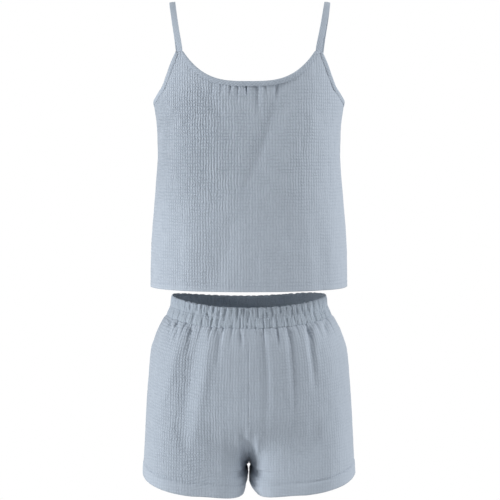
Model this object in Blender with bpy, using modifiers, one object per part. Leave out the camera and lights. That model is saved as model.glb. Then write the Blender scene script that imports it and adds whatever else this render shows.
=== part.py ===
# Short pyjama set in cotton double gauze: a strappy top above pull-on shorts, both filled out as
# if worn. Tables are in millimetres, the scene in metres. +Z is up, the front faces -Y and +X is
# the wearer's left. The origin lies midway between the tops of the two straps, on the wearer's
# shoulders.

import math
from bisect import bisect_right
from collections import namedtuple

import bmesh
import bpy
from mathutils import Vector

MM = 0.001
SEAM_GAP = 0.4
CLOTH = 1.2

# Top: outline and fullness
TopSection = namedtuple("TopSection", "z half_width front back")
TOP_SECTIONS = [
    TopSection(-496.0, 172.3, 121.0, 106.0),
    TopSection(-434.0, 171.1, 120.5, 104.5),
    TopSection(-392.0, 168.6, 120.0, 102.5),
    TopSection(-350.0, 165.0, 119.5, 101.0),
    TopSection(-308.0, 161.4, 119.5, 100.5),
    TopSection(-266.0, 158.8, 119.5, 101.0),
    TopSection(-235.0, 159.0, 118.5, 101.5),
    TopSection(-204.0, 161.0, 115.0, 101.0),
    TopSection(-174.0, 165.0, 110.0, 99.0),
    TopSection(-139.0, 166.5, 104.0, 95.0),
    TopSection(-86.0, 166.0, 92.0, 88.0),
]
TOP_ROUNDNESS = 2.2
TOP_HEM_Z = -493.5

# Top: upper edges of the two panels, by angle round the body from the side seam
EdgePoint = namedtuple("EdgePoint", "angle z")
ARMHOLE_EDGE = [
    EdgePoint(0.0, -174.5),
    EdgePoint(14.8, -165.5),
    EdgePoint(22.0, -157.5),
    EdgePoint(28.4, -147.5),
    EdgePoint(34.0, -128.5),
    EdgePoint(38.7, -107.5),
    EdgePoint(43.5, -88.5),
]
BACK_EDGE = [
    EdgePoint(0.0, -174.5),
    EdgePoint(20.0, -169.0),
    EdgePoint(36.0, -167.0),
    EdgePoint(62.0, -172.0),
    EdgePoint(90.0, -176.0),
]
PEAK_OUTER_ANGLE = 43.5
PEAK_INNER_ANGLE = 48.8
PEAK_INNER_X = 113.0
PEAK_Z = -88.5
NECK_Z = -140.2
NECK_CURVE = 3.2

# Bindings, folded over the panels' raw edges, and straps
BINDING_DEPTH = 7.0
BINDING_DEPTH_AT_PEAK = 5.0
BINDING_TAPER = 14.0
BINDING_CLOTH = 1.0
BINDING_CLEARANCE = 0.55
STRAP_WIDTH = 10.5
STRAP_THICKNESS = 1.8
STRAP_STATIONS = 26
STRAP_TUCK = 9.0
STRAP_CLEARANCE = 0.65
StrapPoint = namedtuple("StrapPoint", "x y z")
STRAP_ROUTE = [
    StrapPoint(120.0, -65.5, -72.0),
    StrapPoint(124.6, -58.0, -50.0),
    StrapPoint(129.3, -44.0, -25.0),
    StrapPoint(132.6, -24.0, -7.5),
    StrapPoint(134.2, 0.0, -0.9),
    StrapPoint(134.4, 25.0, -8.0),
    StrapPoint(132.4, 44.0, -30.0),
    StrapPoint(127.6, 56.0, -65.0),
    StrapPoint(124.0, 61.0, -105.0),
    StrapPoint(122.5, 62.5, -140.0),
]

# Shorts: fullness by height at the side seam
ShortsSection = namedtuple("ShortsSection", "z half_width front back")
SHORTS_SECTIONS = [
    ShortsSection(-821.0, 186.5, 108.0, 115.0),
    ShortsSection(-785.0, 184.5, 110.0, 118.0),
    ShortsSection(-752.0, 182.5, 113.0, 122.0),
    ShortsSection(-720.0, 181.0, 115.5, 124.5),
    ShortsSection(-678.0, 178.4, 117.0, 125.5),
    ShortsSection(-635.0, 175.2, 117.5, 124.0),
    ShortsSection(-603.0, 171.6, 117.0, 120.5),
    ShortsSection(-588.0, 167.0, 116.5, 119.0),
    ShortsSection(-571.0, 160.6, 114.5, 114.0),
    ShortsSection(-558.0, 154.0, 111.5, 109.0),
    ShortsSection(-550.0, 148.5, 108.0, 104.5),
    ShortsSection(-544.3, 140.2, 102.6, 97.6),
]
SHORTS_ROUNDNESS = 2.25
SHORTS_TOP_Z = -544.3
SHORTS_HEM_Z = {-1: -821.0, 1: -818.5}
CENTRE_TOP_DROP = {-1: 12.9, 1: 8.9}
CROTCH_Z = -811.0
CROTCH_DROP = 0.87
CROTCH_Y = 10.0
CROTCH_CURVE_FROM = 0.60
CROTCH_REACH = 7
INSEAM_HEM_Z = {-1: -851.5, 1: -849.5}
LEG_CENTRE = 95.0
LEG_GAP_AT_HEM = 3.5
LEG_OUTER_ROUNDNESS = 2.3
LEG_INNER_ROUNDNESS = 3.6
LEG_SPLIT_FROM = 0.52
HEM_DROP_FULL_AT = 145.0
HEM_DROP_CURVE = 1.2
HEM_DEPTH = 20.0
HEM_STEP = 0.7

# Waistband: a wide elastic casing with one row of stitching round its middle
WAIST_TOP_Z = -509.3
WAIST_HEIGHT = 34.7
WAIST_WALL = 3.2
WAIST_TOP = ShortsSection(WAIST_TOP_Z, 135.2, 99.0, 93.0)
WAIST_FOOT = ShortsSection(WAIST_TOP_Z - WAIST_HEIGHT, 140.0, 102.5, 97.5)
WAIST_DIP = {-1: 13.0, 1: 9.0}
WAIST_GATHERS = 34
COLUMNS_PER_GATHER = 3
BandRow = namedtuple("BandRow", "share puff wave")
BAND_ROWS = [
    BandRow(0.0, 0.5, 0.5),
    BandRow(0.25, 2.0, 1.5),
    BandRow(0.5, 0.1, 0.4),
    BandRow(0.75, 2.0, 1.5),
    BandRow(1.0, 0.0, 0.3),
]

# Folds. Each is a trough, or a ridge where its depth is negative, that runs down from x_top by way
# of x_mid to x_low. start is 1 where it springs from a gathered seam and 0 where it swells midway.
Fold = namedtuple("Fold", "x_top x_mid x_low z_top z_low depth width start")
TOP_FRONT_FOLDS = [
    Fold(-61, -62, -63, -144, -162, 1.2, 6.0, 1),
    Fold(-45, -46, -47, -148, -170, 1.4, 4.5, 1),
    Fold(-31, -32, -33, -148, -180, 2.2, 4.2, 1),
    Fold(-18, -18, -19, -148, -196, 2.6, 4.2, 1),
    Fold(-4, -4, -4, -148, -178, 3.0, 4.0, 1),
    Fold(13, 14, 18, -148, -232, 3.8, 6.0, 1),
    Fold(28, 29, 31, -148, -172, 1.8, 4.2, 1),
    Fold(43, 43, 44, -147, -182, 2.4, 6.0, 1),
    Fold(80, 44, 8, -166, -292, 4.2, 11.0, 0),
    Fold(-74, -46, -24, -162, -246, 3.0, 11.0, 0),
    Fold(-138, -138, -138, -180, -290, 2.2, 11.0, 0),
    Fold(-27, -42, -58, -350, -500, 2.6, 20.0, 0),
    Fold(106, 106, 108, -170, -260, -1.8, 15.0, 0),
    Fold(66, 62, 70, -330, -430, 1.8, 15.0, 0),
    Fold(-96, -98, -102, -330, -520, -2.0, 18.0, 0),
    Fold(118, 122, 126, -360, -520, 1.8, 14.0, 0),
]
TOP_BACK_FOLDS = [
    Fold(-92, -86, -84, -180, -360, 2.4, 13.0, 0),
    Fold(-36, -42, -50, -250, -500, 2.6, 18.0, 0),
    Fold(30, 34, 42, -220, -470, 2.2, 16.0, 0),
    Fold(96, 90, 92, -190, -400, 2.6, 14.0, 0),
    Fold(0, -4, -6, -180, -290, -1.6, 16.0, 0),
    Fold(120, 124, 130, -330, -510, -2.0, 15.0, 0),
]
SHORTS_FRONT_FOLDS = [
    Fold(-134, -137, -141, -550, -590, 2.4, 5.0, 1),
    Fold(-122, -124, -127, -550, -586, 3.2, 5.5, 1),
    Fold(-98, -105, -121, -550, -700, 5.2, 12.0, 1),
    Fold(-66, -80, -112, -552, -760, -3.0, 9.5, 1),
    Fold(-112, -130, -160, -556, -720, -2.8, 9.0, 1),
    Fold(-50, -51, -54, -552, -628, 2.6, 7.0, 1),
    Fold(-35, -37, -38, -554, -640, -1.8, 6.0, 1),
    Fold(-15, -14, -12, -556, -592, 3.4, 5.0, 1),
    Fold(21, 31, 20, -556, -712, 3.8, 6.5, 1),
    Fold(48, 49, 51, -556, -594, 2.6, 5.0, 1),
    Fold(67, 76, 72, -554, -706, 3.2, 8.0, 1),
    Fold(100, 108, 112, -550, -660, 4.4, 6.5, 1),
    Fold(84, 92, 96, -554, -640, -1.6, 7.0, 1),
    Fold(129, 133, 138, -548, -582, 2.8, 5.0, 1),
    Fold(134, 150, 158, -600, -800, -1.6, 16.0, 0),
    Fold(-60, -64, -70, -700, -850, 1.8, 14.0, 0),
    Fold(110, 112, 118, -690, -845, 1.8, 14.0, 0),
]
SHORTS_BACK_FOLDS = [
    Fold(-132, -135, -139, -550, -592, 2.6, 5.0, 1),
    Fold(-112, -117, -128, -550, -664, 4.0, 8.0, 1),
    Fold(-86, -92, -96, -552, -606, 3.0, 5.5, 1),
    Fold(-66, -74, -92, -552, -700, -2.6, 9.0, 1),
    Fold(-46, -50, -56, -554, -668, 3.8, 8.0, 1),
    Fold(-20, -22, -24, -554, -600, 2.8, 5.0, 1),
    Fold(14, 14, 16, -554, -606, 3.0, 5.0, 1),
    Fold(38, 44, 56, -554, -690, 4.0, 8.5, 1),
    Fold(62, 70, 78, -552, -660, -2.4, 8.0, 1),
    Fold(84, 88, 92, -552, -604, 3.0, 5.5, 1),
    Fold(108, 118, 134, -550, -688, 4.2, 9.0, 1),
    Fold(131, 134, 138, -550, -588, 2.6, 5.0, 1),
    Fold(-70, -72, -78, -690, -830, 1.8, 15.0, 0),
    Fold(74, 78, 82, -680, -830, 1.8, 15.0, 0),
]
FOLD_LEAD_IN = 0.12

# Wall grids: how many columns lie between one angle and the next, and where the rows fall
ColumnRun = namedtuple("ColumnRun", "from_angle to_angle count")
TOP_FRONT_COLUMNS = [
    ColumnRun(0.0, 28.4, 5),
    ColumnRun(28.4, PEAK_OUTER_ANGLE, 5),
    ColumnRun(PEAK_OUTER_ANGLE, PEAK_INNER_ANGLE, 1),
    ColumnRun(PEAK_INNER_ANGLE, 68.0, 4),
    ColumnRun(68.0, 112.0, 24),
]
TOP_BACK_COLUMNS = [ColumnRun(0.0, 90.0, 14)]
TOP_ROWS = [0.0, 0.024, 0.042, 0.066, 0.1, 0.15, 0.22, 0.31, 0.42, 0.56, 0.71, 0.86, 1.0]
TOP_BACK_ROWS = [0.0, 0.03, 0.12, 0.25, 0.40, 0.55, 0.70, 0.85, 1.0]
SHORTS_COLUMNS = 25
SHORTS_ROWS = [0.0, 0.02, 0.05, 0.1, 0.17, 0.27, 0.39, 0.52, 0.63, 0.72, 0.79, 0.835, 0.87, 0.9275, 0.94, 1.0]
ROW_SAMPLES = 240
EDGE_SAMPLES = 150

TOP_BLUE = (0.397, 0.451, 0.521, 1.0)
SHORTS_BLUE = (0.366, 0.418, 0.480, 1.0)


def between(start, end, share):
    return start + (end - start) * share


def ease(value):
    held = min(max(value, 0.0), 1.0)
    return held * held * (3.0 - 2.0 * held)


def power(value, exponent):
    return math.copysign(abs(value) ** exponent, value)


def smooth_through(xs, ys, x):
    """Height at x of a smooth curve through the points, which never swings past them."""
    if x <= xs[0]:
        return ys[0]
    if x >= xs[-1]:
        return ys[-1]
    slopes = [(ys[i + 1] - ys[i]) / (xs[i + 1] - xs[i]) for i in range(len(xs) - 1)]

    def tangent(i):
        if i in (0, len(slopes)):
            return slopes[min(i, len(slopes) - 1)]
        before, after = slopes[i - 1], slopes[i]
        return 2.0 * before * after / (before + after) if before * after > 0.0 else 0.0

    i = bisect_right(xs, x) - 1
    width = xs[i + 1] - xs[i]
    s = (x - xs[i]) / width
    return (
        ys[i] * (1 + 2 * s) * (1 - s) ** 2
        + ys[i + 1] * s * s * (3 - 2 * s)
        + width * s * (1 - s) * (tangent(i) * (1 - s) - tangent(i + 1) * s)
    )


def read(table, key, value, at):
    """The named value of a table at a height or an angle, smoothed between its rows."""
    return smooth_through([getattr(row, key) for row in table], [getattr(row, value) for row in table], at)


def fold_depth(folds, x, z):
    """How far the cloth lies in at (x, z) on the panel, from all of its folds."""
    total = 0.0
    for fold in folds:
        s = (fold.z_top - z) / (fold.z_top - fold.z_low)
        if not -FOLD_LEAD_IN < s < 1.0:
            continue
        lead_in = min(1.0, 1.0 + s / FOLD_LEAD_IN)
        s = max(s, 0.0)
        centre = (
            (1 - s) * (1 - 2 * s) * fold.x_top
            + 4 * s * (1 - s) * fold.x_mid
            + s * (2 * s - 1) * fold.x_low
        )
        along = math.cos(math.pi * s / 2) if fold.start else math.sin(math.pi * s)
        total += fold.depth * along * lead_in * math.exp(-(((x - centre) / fold.width) ** 2))
    return total


def gauze(name, colour):
    """Cotton double gauze, quite matt."""
    material = bpy.data.materials.new(name)
    material.use_nodes = True
    shader = material.node_tree.nodes["Principled BSDF"]
    shader.inputs["Base Color"].default_value = colour
    shader.inputs["Roughness"].default_value = 0.9
    shader.inputs["Metallic"].default_value = 0.0
    return material


def new_object(name, mesh, colour):
    mesh.materials.append(gauze(name + "_gauze", colour))
    mesh.shade_smooth()
    obj = bpy.data.objects.new(name, mesh)
    SET_COLLECTION.objects.link(obj)
    return obj


def cloth_panel(name, grid, outward, colour):
    """A wall of cloth: an open sheet through the grid's points, thickened towards the inside."""
    bm = bmesh.new()
    columns, rows = len(grid), len(grid[0])
    bmesh.ops.create_grid(bm, x_segments=columns - 1, y_segments=rows - 1, size=0.5)
    for vert in bm.verts:
        i = round((vert.co.x + 0.5) * (columns - 1))
        j = round((vert.co.y + 0.5) * (rows - 1))
        vert.co = grid[i][j] * MM
    bm.normal_update()
    bm.faces.ensure_lookup_table()
    middle = bm.faces[len(bm.faces) // 2]
    if middle.normal.dot(outward) < 0.0:
        bmesh.ops.reverse_faces(bm, faces=bm.faces)
    mesh = bpy.data.meshes.new(name)
    bm.to_mesh(mesh)
    bm.free()
    obj = new_object(name, mesh, colour)
    wall = obj.modifiers.new("wall", "SOLIDIFY")
    wall.thickness = CLOTH * MM
    wall.offset = -1.0
    return obj


def lofted_solid(name, sections, colour):
    """A closed solid through a row of like sections, with flat ends."""
    bm = bmesh.new()
    rings = [[bm.verts.new(point * MM) for point in section] for section in sections]
    count = len(rings[0])
    for ring, following in zip(rings, rings[1:]):
        for k in range(count):
            bm.faces.new((ring[k], ring[(k + 1) % count], following[(k + 1) % count], following[k]))
    bm.faces.new(rings[0])
    bm.faces.new(rings[-1])
    bmesh.ops.recalc_face_normals(bm, faces=bm.faces)
    mesh = bpy.data.meshes.new(name)
    bm.to_mesh(mesh)
    bm.free()
    return new_object(name, mesh, colour)


def top_sizes(z):
    return [read(TOP_SECTIONS, "z", value, z) for value in ("half_width", "front", "back")]


def top_point(angle, z, face):
    """A point of the top's outer surface. The angle runs from 0 at the wearer's right side seam to
    180 at the left; face is -1 on the front and 1 on the back."""
    half_width, front, back = top_sizes(z)
    depth = front if face < 0 else back
    turn = math.radians(angle)
    exponent = 2.0 / TOP_ROUNDNESS
    x = -half_width * power(math.cos(turn), exponent)
    y = face * max(depth * power(abs(math.sin(turn)), exponent), SEAM_GAP / 2)
    return Vector((x, y, z))


def top_normal(point):
    """Level outward direction of the top's surface through a point on it."""
    half_width, front, back = top_sizes(point.z)
    depth = front if point.y < 0 else back
    exponent = TOP_ROUNDNESS - 1.0
    across = power(point.x / half_width, exponent) / half_width
    ahead = power(point.y / depth, exponent) / depth
    return Vector((across, ahead, 0.0)).normalized()


def onto_top(point):
    """The point moved straight out or in from the body's middle, onto the top's surface."""
    half_width, front, back = top_sizes(point.z)
    depth = front if point.y < 0 else back
    reach = (abs(point.x / half_width) ** TOP_ROUNDNESS + abs(point.y / depth) ** TOP_ROUNDNESS)
    scale = reach ** (-1.0 / TOP_ROUNDNESS)
    return Vector((point.x * scale, point.y * scale, point.z))


def front_edge_z(angle):
    """Height of the front panel's upper edge: armhole, peak, neckline, peak and armhole."""
    from_side = min(angle, 180.0 - angle)
    if from_side <= PEAK_OUTER_ANGLE:
        return read(ARMHOLE_EDGE, "angle", "z", from_side)
    if from_side <= PEAK_INNER_ANGLE:
        return PEAK_Z
    share = min(abs(top_point(angle, NECK_Z, -1).x) / PEAK_INNER_X, 1.0)
    return between(NECK_Z, PEAK_Z, share**NECK_CURVE)


def back_edge_z(angle):
    return read(BACK_EDGE, "angle", "z", min(angle, 180.0 - angle))


def angles_of(runs):
    """Column angles across a whole panel, from runs given for its right half or past its middle."""
    angles = [runs[0].from_angle]
    for run in runs:
        step = (run.to_angle - run.from_angle) / run.count
        angles += [run.from_angle + step * (k + 1) for k in range(run.count)]
    right = [a for a in angles if a < 90.0 - 1e-6]
    return right + [90.0] + [180.0 - a for a in reversed(right)]


def top_panel_grid(angles, rows, edge_z, face, folds):
    grid = []
    edge_angles = [180.0 * k / EDGE_SAMPLES for k in range(EDGE_SAMPLES + 1)]
    edge = [top_point(angle, edge_z(angle), face) for angle in edge_angles]
    for angle in angles:
        seam_fade = ease(min(angle, 180.0 - angle) / 12.0)
        upper = edge_z(angle)
        column = []
        for share in rows:
            z = between(upper, TOP_HEM_Z, share)
            point = top_point(angle, z, face)
            from_edge = min((point - other).length for other in edge)
            relief = ease((from_edge - BINDING_DEPTH - 1.0) / 6.0) * seam_fade
            column.append(point - top_normal(point) * fold_depth(folds, point.x, z) * relief)
        grid.append(column)
    return grid


def binding_sections(angles, edge_z, face, depth_at):
    """U-shaped sections of a strip folded over a panel's raw edge, one for each of the angles."""
    edge = [top_point(angle, edge_z(angle), face) for angle in angles]
    sections = []
    for i, point in enumerate(edge):
        before, after = edge[max(i - 1, 0)], edge[min(i + 1, len(edge) - 1)]
        along = (after - before).normalized()
        if abs(point.y) < SEAM_GAP:
            along = Vector((0.0, 1.0, 0.0))
        outward = top_normal(point)
        inward_down = along.cross(outward).normalized()
        if inward_down.z > 0.0:
            inward_down.negate()
        outward = (outward - along * outward.dot(along)).normalized()
        foot = onto_top(point + inward_down * depth_at(i, edge))
        foot_outward = top_normal(foot)
        up = -inward_down
        near, far = BINDING_CLEARANCE, BINDING_CLEARANCE + BINDING_CLOTH
        inside_near, inside_far = CLOTH + near, CLOTH + far
        sections.append(
            [
                foot + foot_outward * far,
                point + outward * far + up * near,
                point + outward * (near + 0.2) + up * far,
                point - outward * (inside_near + 0.2) + up * far,
                point - outward * inside_far + up * near,
                foot - foot_outward * inside_far,
                foot - foot_outward * inside_near,
                point - outward * inside_near + up * near,
                point + outward * near + up * near,
                foot + foot_outward * near,
            ]
        )
    return sections


def depth_from_peak(peak_first, peak_last):
    """Binding depth at a station, narrowed near the peaks so that two strips don't meet there."""

    def depth(i, edge):
        lengths = [0.0]
        for a, b in zip(edge, edge[1:]):
            lengths.append(lengths[-1] + (b - a).length)
        nearest = math.inf
        if peak_first:
            nearest = lengths[i]
        if peak_last:
            nearest = min(nearest, lengths[-1] - lengths[i])
        return between(BINDING_DEPTH_AT_PEAK, BINDING_DEPTH, ease(nearest / BINDING_TAPER))

    return depth


def route_point(points, s):
    """A point on the smooth curve that passes through all of the points, s from 0 to 1."""
    place = s * (len(points) - 1)
    i = min(int(place), len(points) - 2)
    t = place - i
    before = points[max(i - 1, 0)]
    start, end = points[i], points[i + 1]
    after = points[min(i + 2, len(points) - 1)]
    return 0.5 * (
        2 * start
        + (end - before) * t
        + (2 * before - 5 * start + 4 * end - after) * t * t
        + (3 * start - before - 3 * end + after) * t * t * t
    )


def strap_sections(side):
    """Sections of a strap from the front peak over the shoulder to inside the back edge."""
    peak_angle = (PEAK_OUTER_ANGLE + PEAK_INNER_ANGLE) / 2
    front_skin = top_point(peak_angle, PEAK_Z + SEAM_GAP, -1)
    front_normal = top_normal(front_skin)
    front_end = front_skin - front_normal * CLOTH / 2
    last = STRAP_ROUTE[-1]
    back_angle = 180.0 - 36.0
    back_z = back_edge_z(back_angle) - STRAP_TUCK
    back_skin = top_point(back_angle, back_z, 1)
    back_skin = onto_top(Vector((-last.x, back_skin.y, back_z)))
    back_normal = top_normal(back_skin)
    inside = CLOTH + BINDING_CLEARANCE + BINDING_CLOTH + STRAP_CLEARANCE + STRAP_THICKNESS / 2
    back_end = back_skin - back_normal * inside
    route = [front_end]
    route += [Vector((-p.x, p.y, p.z)) for p in STRAP_ROUTE]
    route += [back_end + Vector((0.0, -0.5, STRAP_TUCK + 4.0)), back_end]
    flat_front = Vector((0, 0, 1)).cross(front_normal)
    flat_back = back_normal.cross(Vector((0, 0, 1)))
    flat_top = Vector((0.99, 0.0, 0.14))
    sections = []
    for k in range(STRAP_STATIONS):
        s = k / (STRAP_STATIONS - 1)
        centre = route_point(route, s)
        along = (route_point(route, min(s + 0.01, 1.0)) - route_point(route, max(s - 0.01, 0.0))).normalized()
        if k == 0:
            along = Vector((0, 0, 1))
        if s < 0.42:
            flat = flat_front.lerp(flat_top, ease(s / 0.42))
        else:
            flat = flat_top.lerp(flat_back, ease((s - 0.42) / 0.5))
        flat = (flat - along * flat.dot(along)).normalized()
        thick = along.cross(flat).normalized()
        half_width, half_thick = STRAP_WIDTH / 2, STRAP_THICKNESS / 2
        corner = 0.6
        corners = [
            (half_width, half_thick - corner),
            (half_width - corner, half_thick),
            (corner - half_width, half_thick),
            (-half_width, half_thick - corner),
            (-half_width, corner - half_thick),
            (corner - half_width, -half_thick),
            (half_width - corner, -half_thick),
            (half_width, corner - half_thick),
        ]
        section = [centre + flat * across + thick * out for across, out in corners]
        sections.append([Vector((-side * p.x, p.y, p.z)) for p in section])
    return sections


def waist_point(angle, share, face):
    """A point on the waistband's plain outer surface and its level outward direction. share runs
    from 0 at the upper edge to 1 at the foot."""
    turn = math.radians(angle)
    half_width = between(WAIST_TOP.half_width, WAIST_FOOT.half_width, share)
    if face < 0:
        depth = between(WAIST_TOP.front, WAIST_FOOT.front, share)
    else:
        depth = between(WAIST_TOP.back, WAIST_FOOT.back, share)
    exponent = 2.0 / SHORTS_ROUNDNESS
    x = -half_width * power(math.cos(turn), exponent)
    y = face * max(depth * power(abs(math.sin(turn)), exponent), SEAM_GAP / 2)
    z = WAIST_TOP_Z - WAIST_DIP[face] * math.sin(turn) ** 2 - WAIST_HEIGHT * share
    normal = Vector(
        (
            power(x / half_width, SHORTS_ROUNDNESS - 1.0) / half_width,
            power(y / depth, SHORTS_ROUNDNESS - 1.0) / depth,
            0.0,
        )
    )
    return Vector((x, y, z)), normal.normalized()


def waistband_angles():
    """Angles spaced evenly along the waistband, so that its gathers are."""
    samples = [180.0 * k / ROW_SAMPLES for k in range(ROW_SAMPLES + 1)]
    points = [waist_point(angle, 0.5, -1)[0] for angle in samples]
    lengths = [0.0]
    for a, b in zip(points, points[1:]):
        lengths.append(lengths[-1] + (b - a).length)
    count = WAIST_GATHERS * COLUMNS_PER_GATHER
    return [smooth_through(lengths, samples, lengths[-1] * k / count) for k in range(count + 1)]


def waistband_sections(face):
    sections = []
    angles = waistband_angles()
    for k, angle in enumerate(angles):
        seam_fade = ease(min(k, len(angles) - 1 - k) / COLUMNS_PER_GATHER)
        uneven = 1.0 + 0.35 * math.sin(0.9 * k + face)
        wave = math.cos(2.0 * math.pi * k / COLUMNS_PER_GATHER) * uneven
        section = []
        for row in BAND_ROWS:
            point, normal = waist_point(angle, row.share, face)
            section.append(point + normal * (row.puff + row.wave * wave) * seam_fade)
        for share in (1.0, 0.0):
            point, normal = waist_point(angle, share, face)
            inner = point - normal * WAIST_WALL
            inner.y = face * max(abs(inner.y), SEAM_GAP / 2)
            section.append(inner)
        sections.append(section)
    return sections


def leg_split(turn, drop):
    """How far the shorts have split into legs: 0 is one round body, 1 is a leg of its own."""
    outer = ease((drop - LEG_SPLIT_FROM) / (1.0 - LEG_SPLIT_FROM))
    q = min(max((drop - CROTCH_CURVE_FROM) / (CROTCH_DROP - CROTCH_CURVE_FROM), 0.0), 1.0)
    seam = 1.0 - math.sqrt(1.0 - q * q)
    return between(outer, seam, turn**CROTCH_REACH)


def shorts_point(turn, drop, side, face):
    """A point of the shorts' smooth outer surface. turn runs from 0 at the side seam to 1 at the
    centre seam and, below it, the inseam; drop runs from 0 at the waistband to 1 at the hem."""
    side_z = between(SHORTS_TOP_Z, SHORTS_HEM_Z[side], drop)
    half_width = read(SHORTS_SECTIONS, "z", "half_width", side_z)
    depth = read(SHORTS_SECTIONS, "z", "front" if face < 0 else "back", side_z)
    angle = math.pi * turn
    exponent = 2.0 / SHORTS_ROUNDNESS
    body_x = half_width * power(max(math.cos(angle / 2), 0.0), exponent)
    body_y = depth * power(math.sin(angle / 2), exponent)
    below_crotch = max(drop - CROTCH_DROP, 0.0) / (1.0 - CROTCH_DROP)
    leg_gap = between(SEAM_GAP / 2, LEG_GAP_AT_HEM, below_crotch)
    outer = math.cos(angle) > 0.0
    reach = half_width - LEG_CENTRE if outer else LEG_CENTRE - leg_gap
    exponent = 2.0 / (LEG_OUTER_ROUNDNESS if outer else LEG_INNER_ROUNDNESS)
    leg_x = LEG_CENTRE + reach * power(math.cos(angle), exponent)
    leg_y = (depth - 4.0) * power(abs(math.sin(angle)), exponent)
    split = leg_split(turn, drop)
    x = max(between(body_x, leg_x, split), SEAM_GAP / 2)
    y = face * max(between(body_y, leg_y, split), SEAM_GAP / 2) + CROTCH_Y * split * turn**CROTCH_REACH
    centre_top = SHORTS_TOP_Z - CENTRE_TOP_DROP[face]
    if drop <= CROTCH_DROP:
        centre_z = between(centre_top, CROTCH_Z, drop / CROTCH_DROP)
    else:
        centre_z = between(CROTCH_Z, INSEAM_HEM_Z[side], below_crotch)
    dip = math.sin(math.pi / 2 * min(180.0 * turn / HEM_DROP_FULL_AT, 1.0)) ** HEM_DROP_CURVE
    return Vector((side * x, y, between(side_z, centre_z, dip)))


def shorts_outward(turn, drop, side, face):
    """Level outward direction of the shorts' surface."""
    step = 0.01
    along = shorts_point(min(turn + step, 1.0), drop, side, face)
    along -= shorts_point(max(turn - step, 0.0), drop, side, face)
    return Vector((along.y, -along.x, 0.0)).normalized() * (-side * face)


def shorts_panel_grid(side, face, folds):
    rows = []
    for drop in SHORTS_ROWS:
        length = SHORTS_TOP_Z - SHORTS_HEM_Z[side]
        below_waist, above_hem = drop * length, (1.0 - drop) * length
        row = []
        for column in range(SHORTS_COLUMNS + 1):
            turn = column / SHORTS_COLUMNS
            point = shorts_point(turn, drop, side, face)
            seam_fade = ease(turn / 0.07) * ease((1.0 - turn) / 0.09)
            inner_thigh = ease((0.98 - turn) / 0.2) if drop > 0.6 else 1.0
            trough = fold_depth(folds, point.x, point.z) * ease(below_waist / 8.0)
            hem_step = HEM_STEP if above_hem < HEM_DEPTH - 1.0 else 0.0
            relief = hem_step - trough * inner_thigh
            row.append(point + shorts_outward(turn, drop, side, face) * relief * seam_fade)
        rows.append(row)
    return [list(column) for column in zip(*rows)]


def make_top():
    front_angles = angles_of(TOP_FRONT_COLUMNS)
    back_angles = angles_of(TOP_BACK_COLUMNS)
    front_grid = top_panel_grid(front_angles, TOP_ROWS, front_edge_z, -1, TOP_FRONT_FOLDS)
    cloth_panel("top_front", front_grid, Vector((0, -1, 0)), TOP_BLUE)
    back_grid = top_panel_grid(back_angles, TOP_BACK_ROWS, back_edge_z, 1, TOP_BACK_FOLDS)
    cloth_panel("top_back", back_grid, Vector((0, 1, 0)), TOP_BLUE)

    neck = [a for a in front_angles if PEAK_INNER_ANGLE - 1e-6 <= a <= 180.0 - PEAK_INNER_ANGLE + 1e-6]
    neck_sections = binding_sections(neck, front_edge_z, -1, depth_from_peak(True, True))
    lofted_solid("neck_binding", neck_sections, TOP_BLUE)
    right = [a for a in front_angles if a <= PEAK_OUTER_ANGLE + 1e-6]
    right_sections = binding_sections(right, front_edge_z, -1, depth_from_peak(False, True))
    lofted_solid("armhole_binding_right", right_sections, TOP_BLUE)
    left_sections = [[Vector((-p.x, p.y, p.z)) for p in section] for section in right_sections]
    lofted_solid("armhole_binding_left", left_sections, TOP_BLUE)
    back_sections = binding_sections(back_angles, back_edge_z, 1, depth_from_peak(False, False))
    lofted_solid("back_binding", back_sections, TOP_BLUE)
    lofted_solid("strap_right", strap_sections(-1), TOP_BLUE)
    lofted_solid("strap_left", strap_sections(1), TOP_BLUE)


def make_shorts():
    lofted_solid("waistband_front", waistband_sections(-1), SHORTS_BLUE)
    lofted_solid("waistband_back", waistband_sections(1), SHORTS_BLUE)
    panels = [
        ("shorts_front_right", -1, -1, SHORTS_FRONT_FOLDS),
        ("shorts_front_left", 1, -1, SHORTS_FRONT_FOLDS),
        ("shorts_back_right", -1, 1, SHORTS_BACK_FOLDS),
        ("shorts_back_left", 1, 1, SHORTS_BACK_FOLDS),
    ]
    for name, side, face, folds in panels:
        cloth_panel(name, shorts_panel_grid(side, face, folds), Vector((side, face, 0)), SHORTS_BLUE)


for old in list(bpy.data.objects):
    bpy.data.objects.remove(old)
SET_COLLECTION = bpy.data.collections.new("short_pyjama_set")
bpy.context.scene.collection.children.link(SET_COLLECTION)
make_top()
make_shorts()
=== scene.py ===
import math
import random
from collections import namedtuple

import bmesh
import bpy
import numpy as np
from mathutils import Matrix, Vector, noise


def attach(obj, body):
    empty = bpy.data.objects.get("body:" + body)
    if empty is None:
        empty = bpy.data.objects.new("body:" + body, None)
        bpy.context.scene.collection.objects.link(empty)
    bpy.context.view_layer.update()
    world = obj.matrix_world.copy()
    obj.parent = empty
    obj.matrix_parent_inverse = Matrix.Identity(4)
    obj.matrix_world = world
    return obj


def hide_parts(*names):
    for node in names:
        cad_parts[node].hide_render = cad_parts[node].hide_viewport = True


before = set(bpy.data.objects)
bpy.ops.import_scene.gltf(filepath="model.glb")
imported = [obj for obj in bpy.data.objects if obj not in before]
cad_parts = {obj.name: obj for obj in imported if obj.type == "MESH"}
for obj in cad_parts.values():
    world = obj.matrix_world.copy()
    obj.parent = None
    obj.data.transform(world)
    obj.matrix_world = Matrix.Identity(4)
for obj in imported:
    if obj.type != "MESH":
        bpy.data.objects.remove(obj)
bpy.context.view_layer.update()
mm = 0.001

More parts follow.
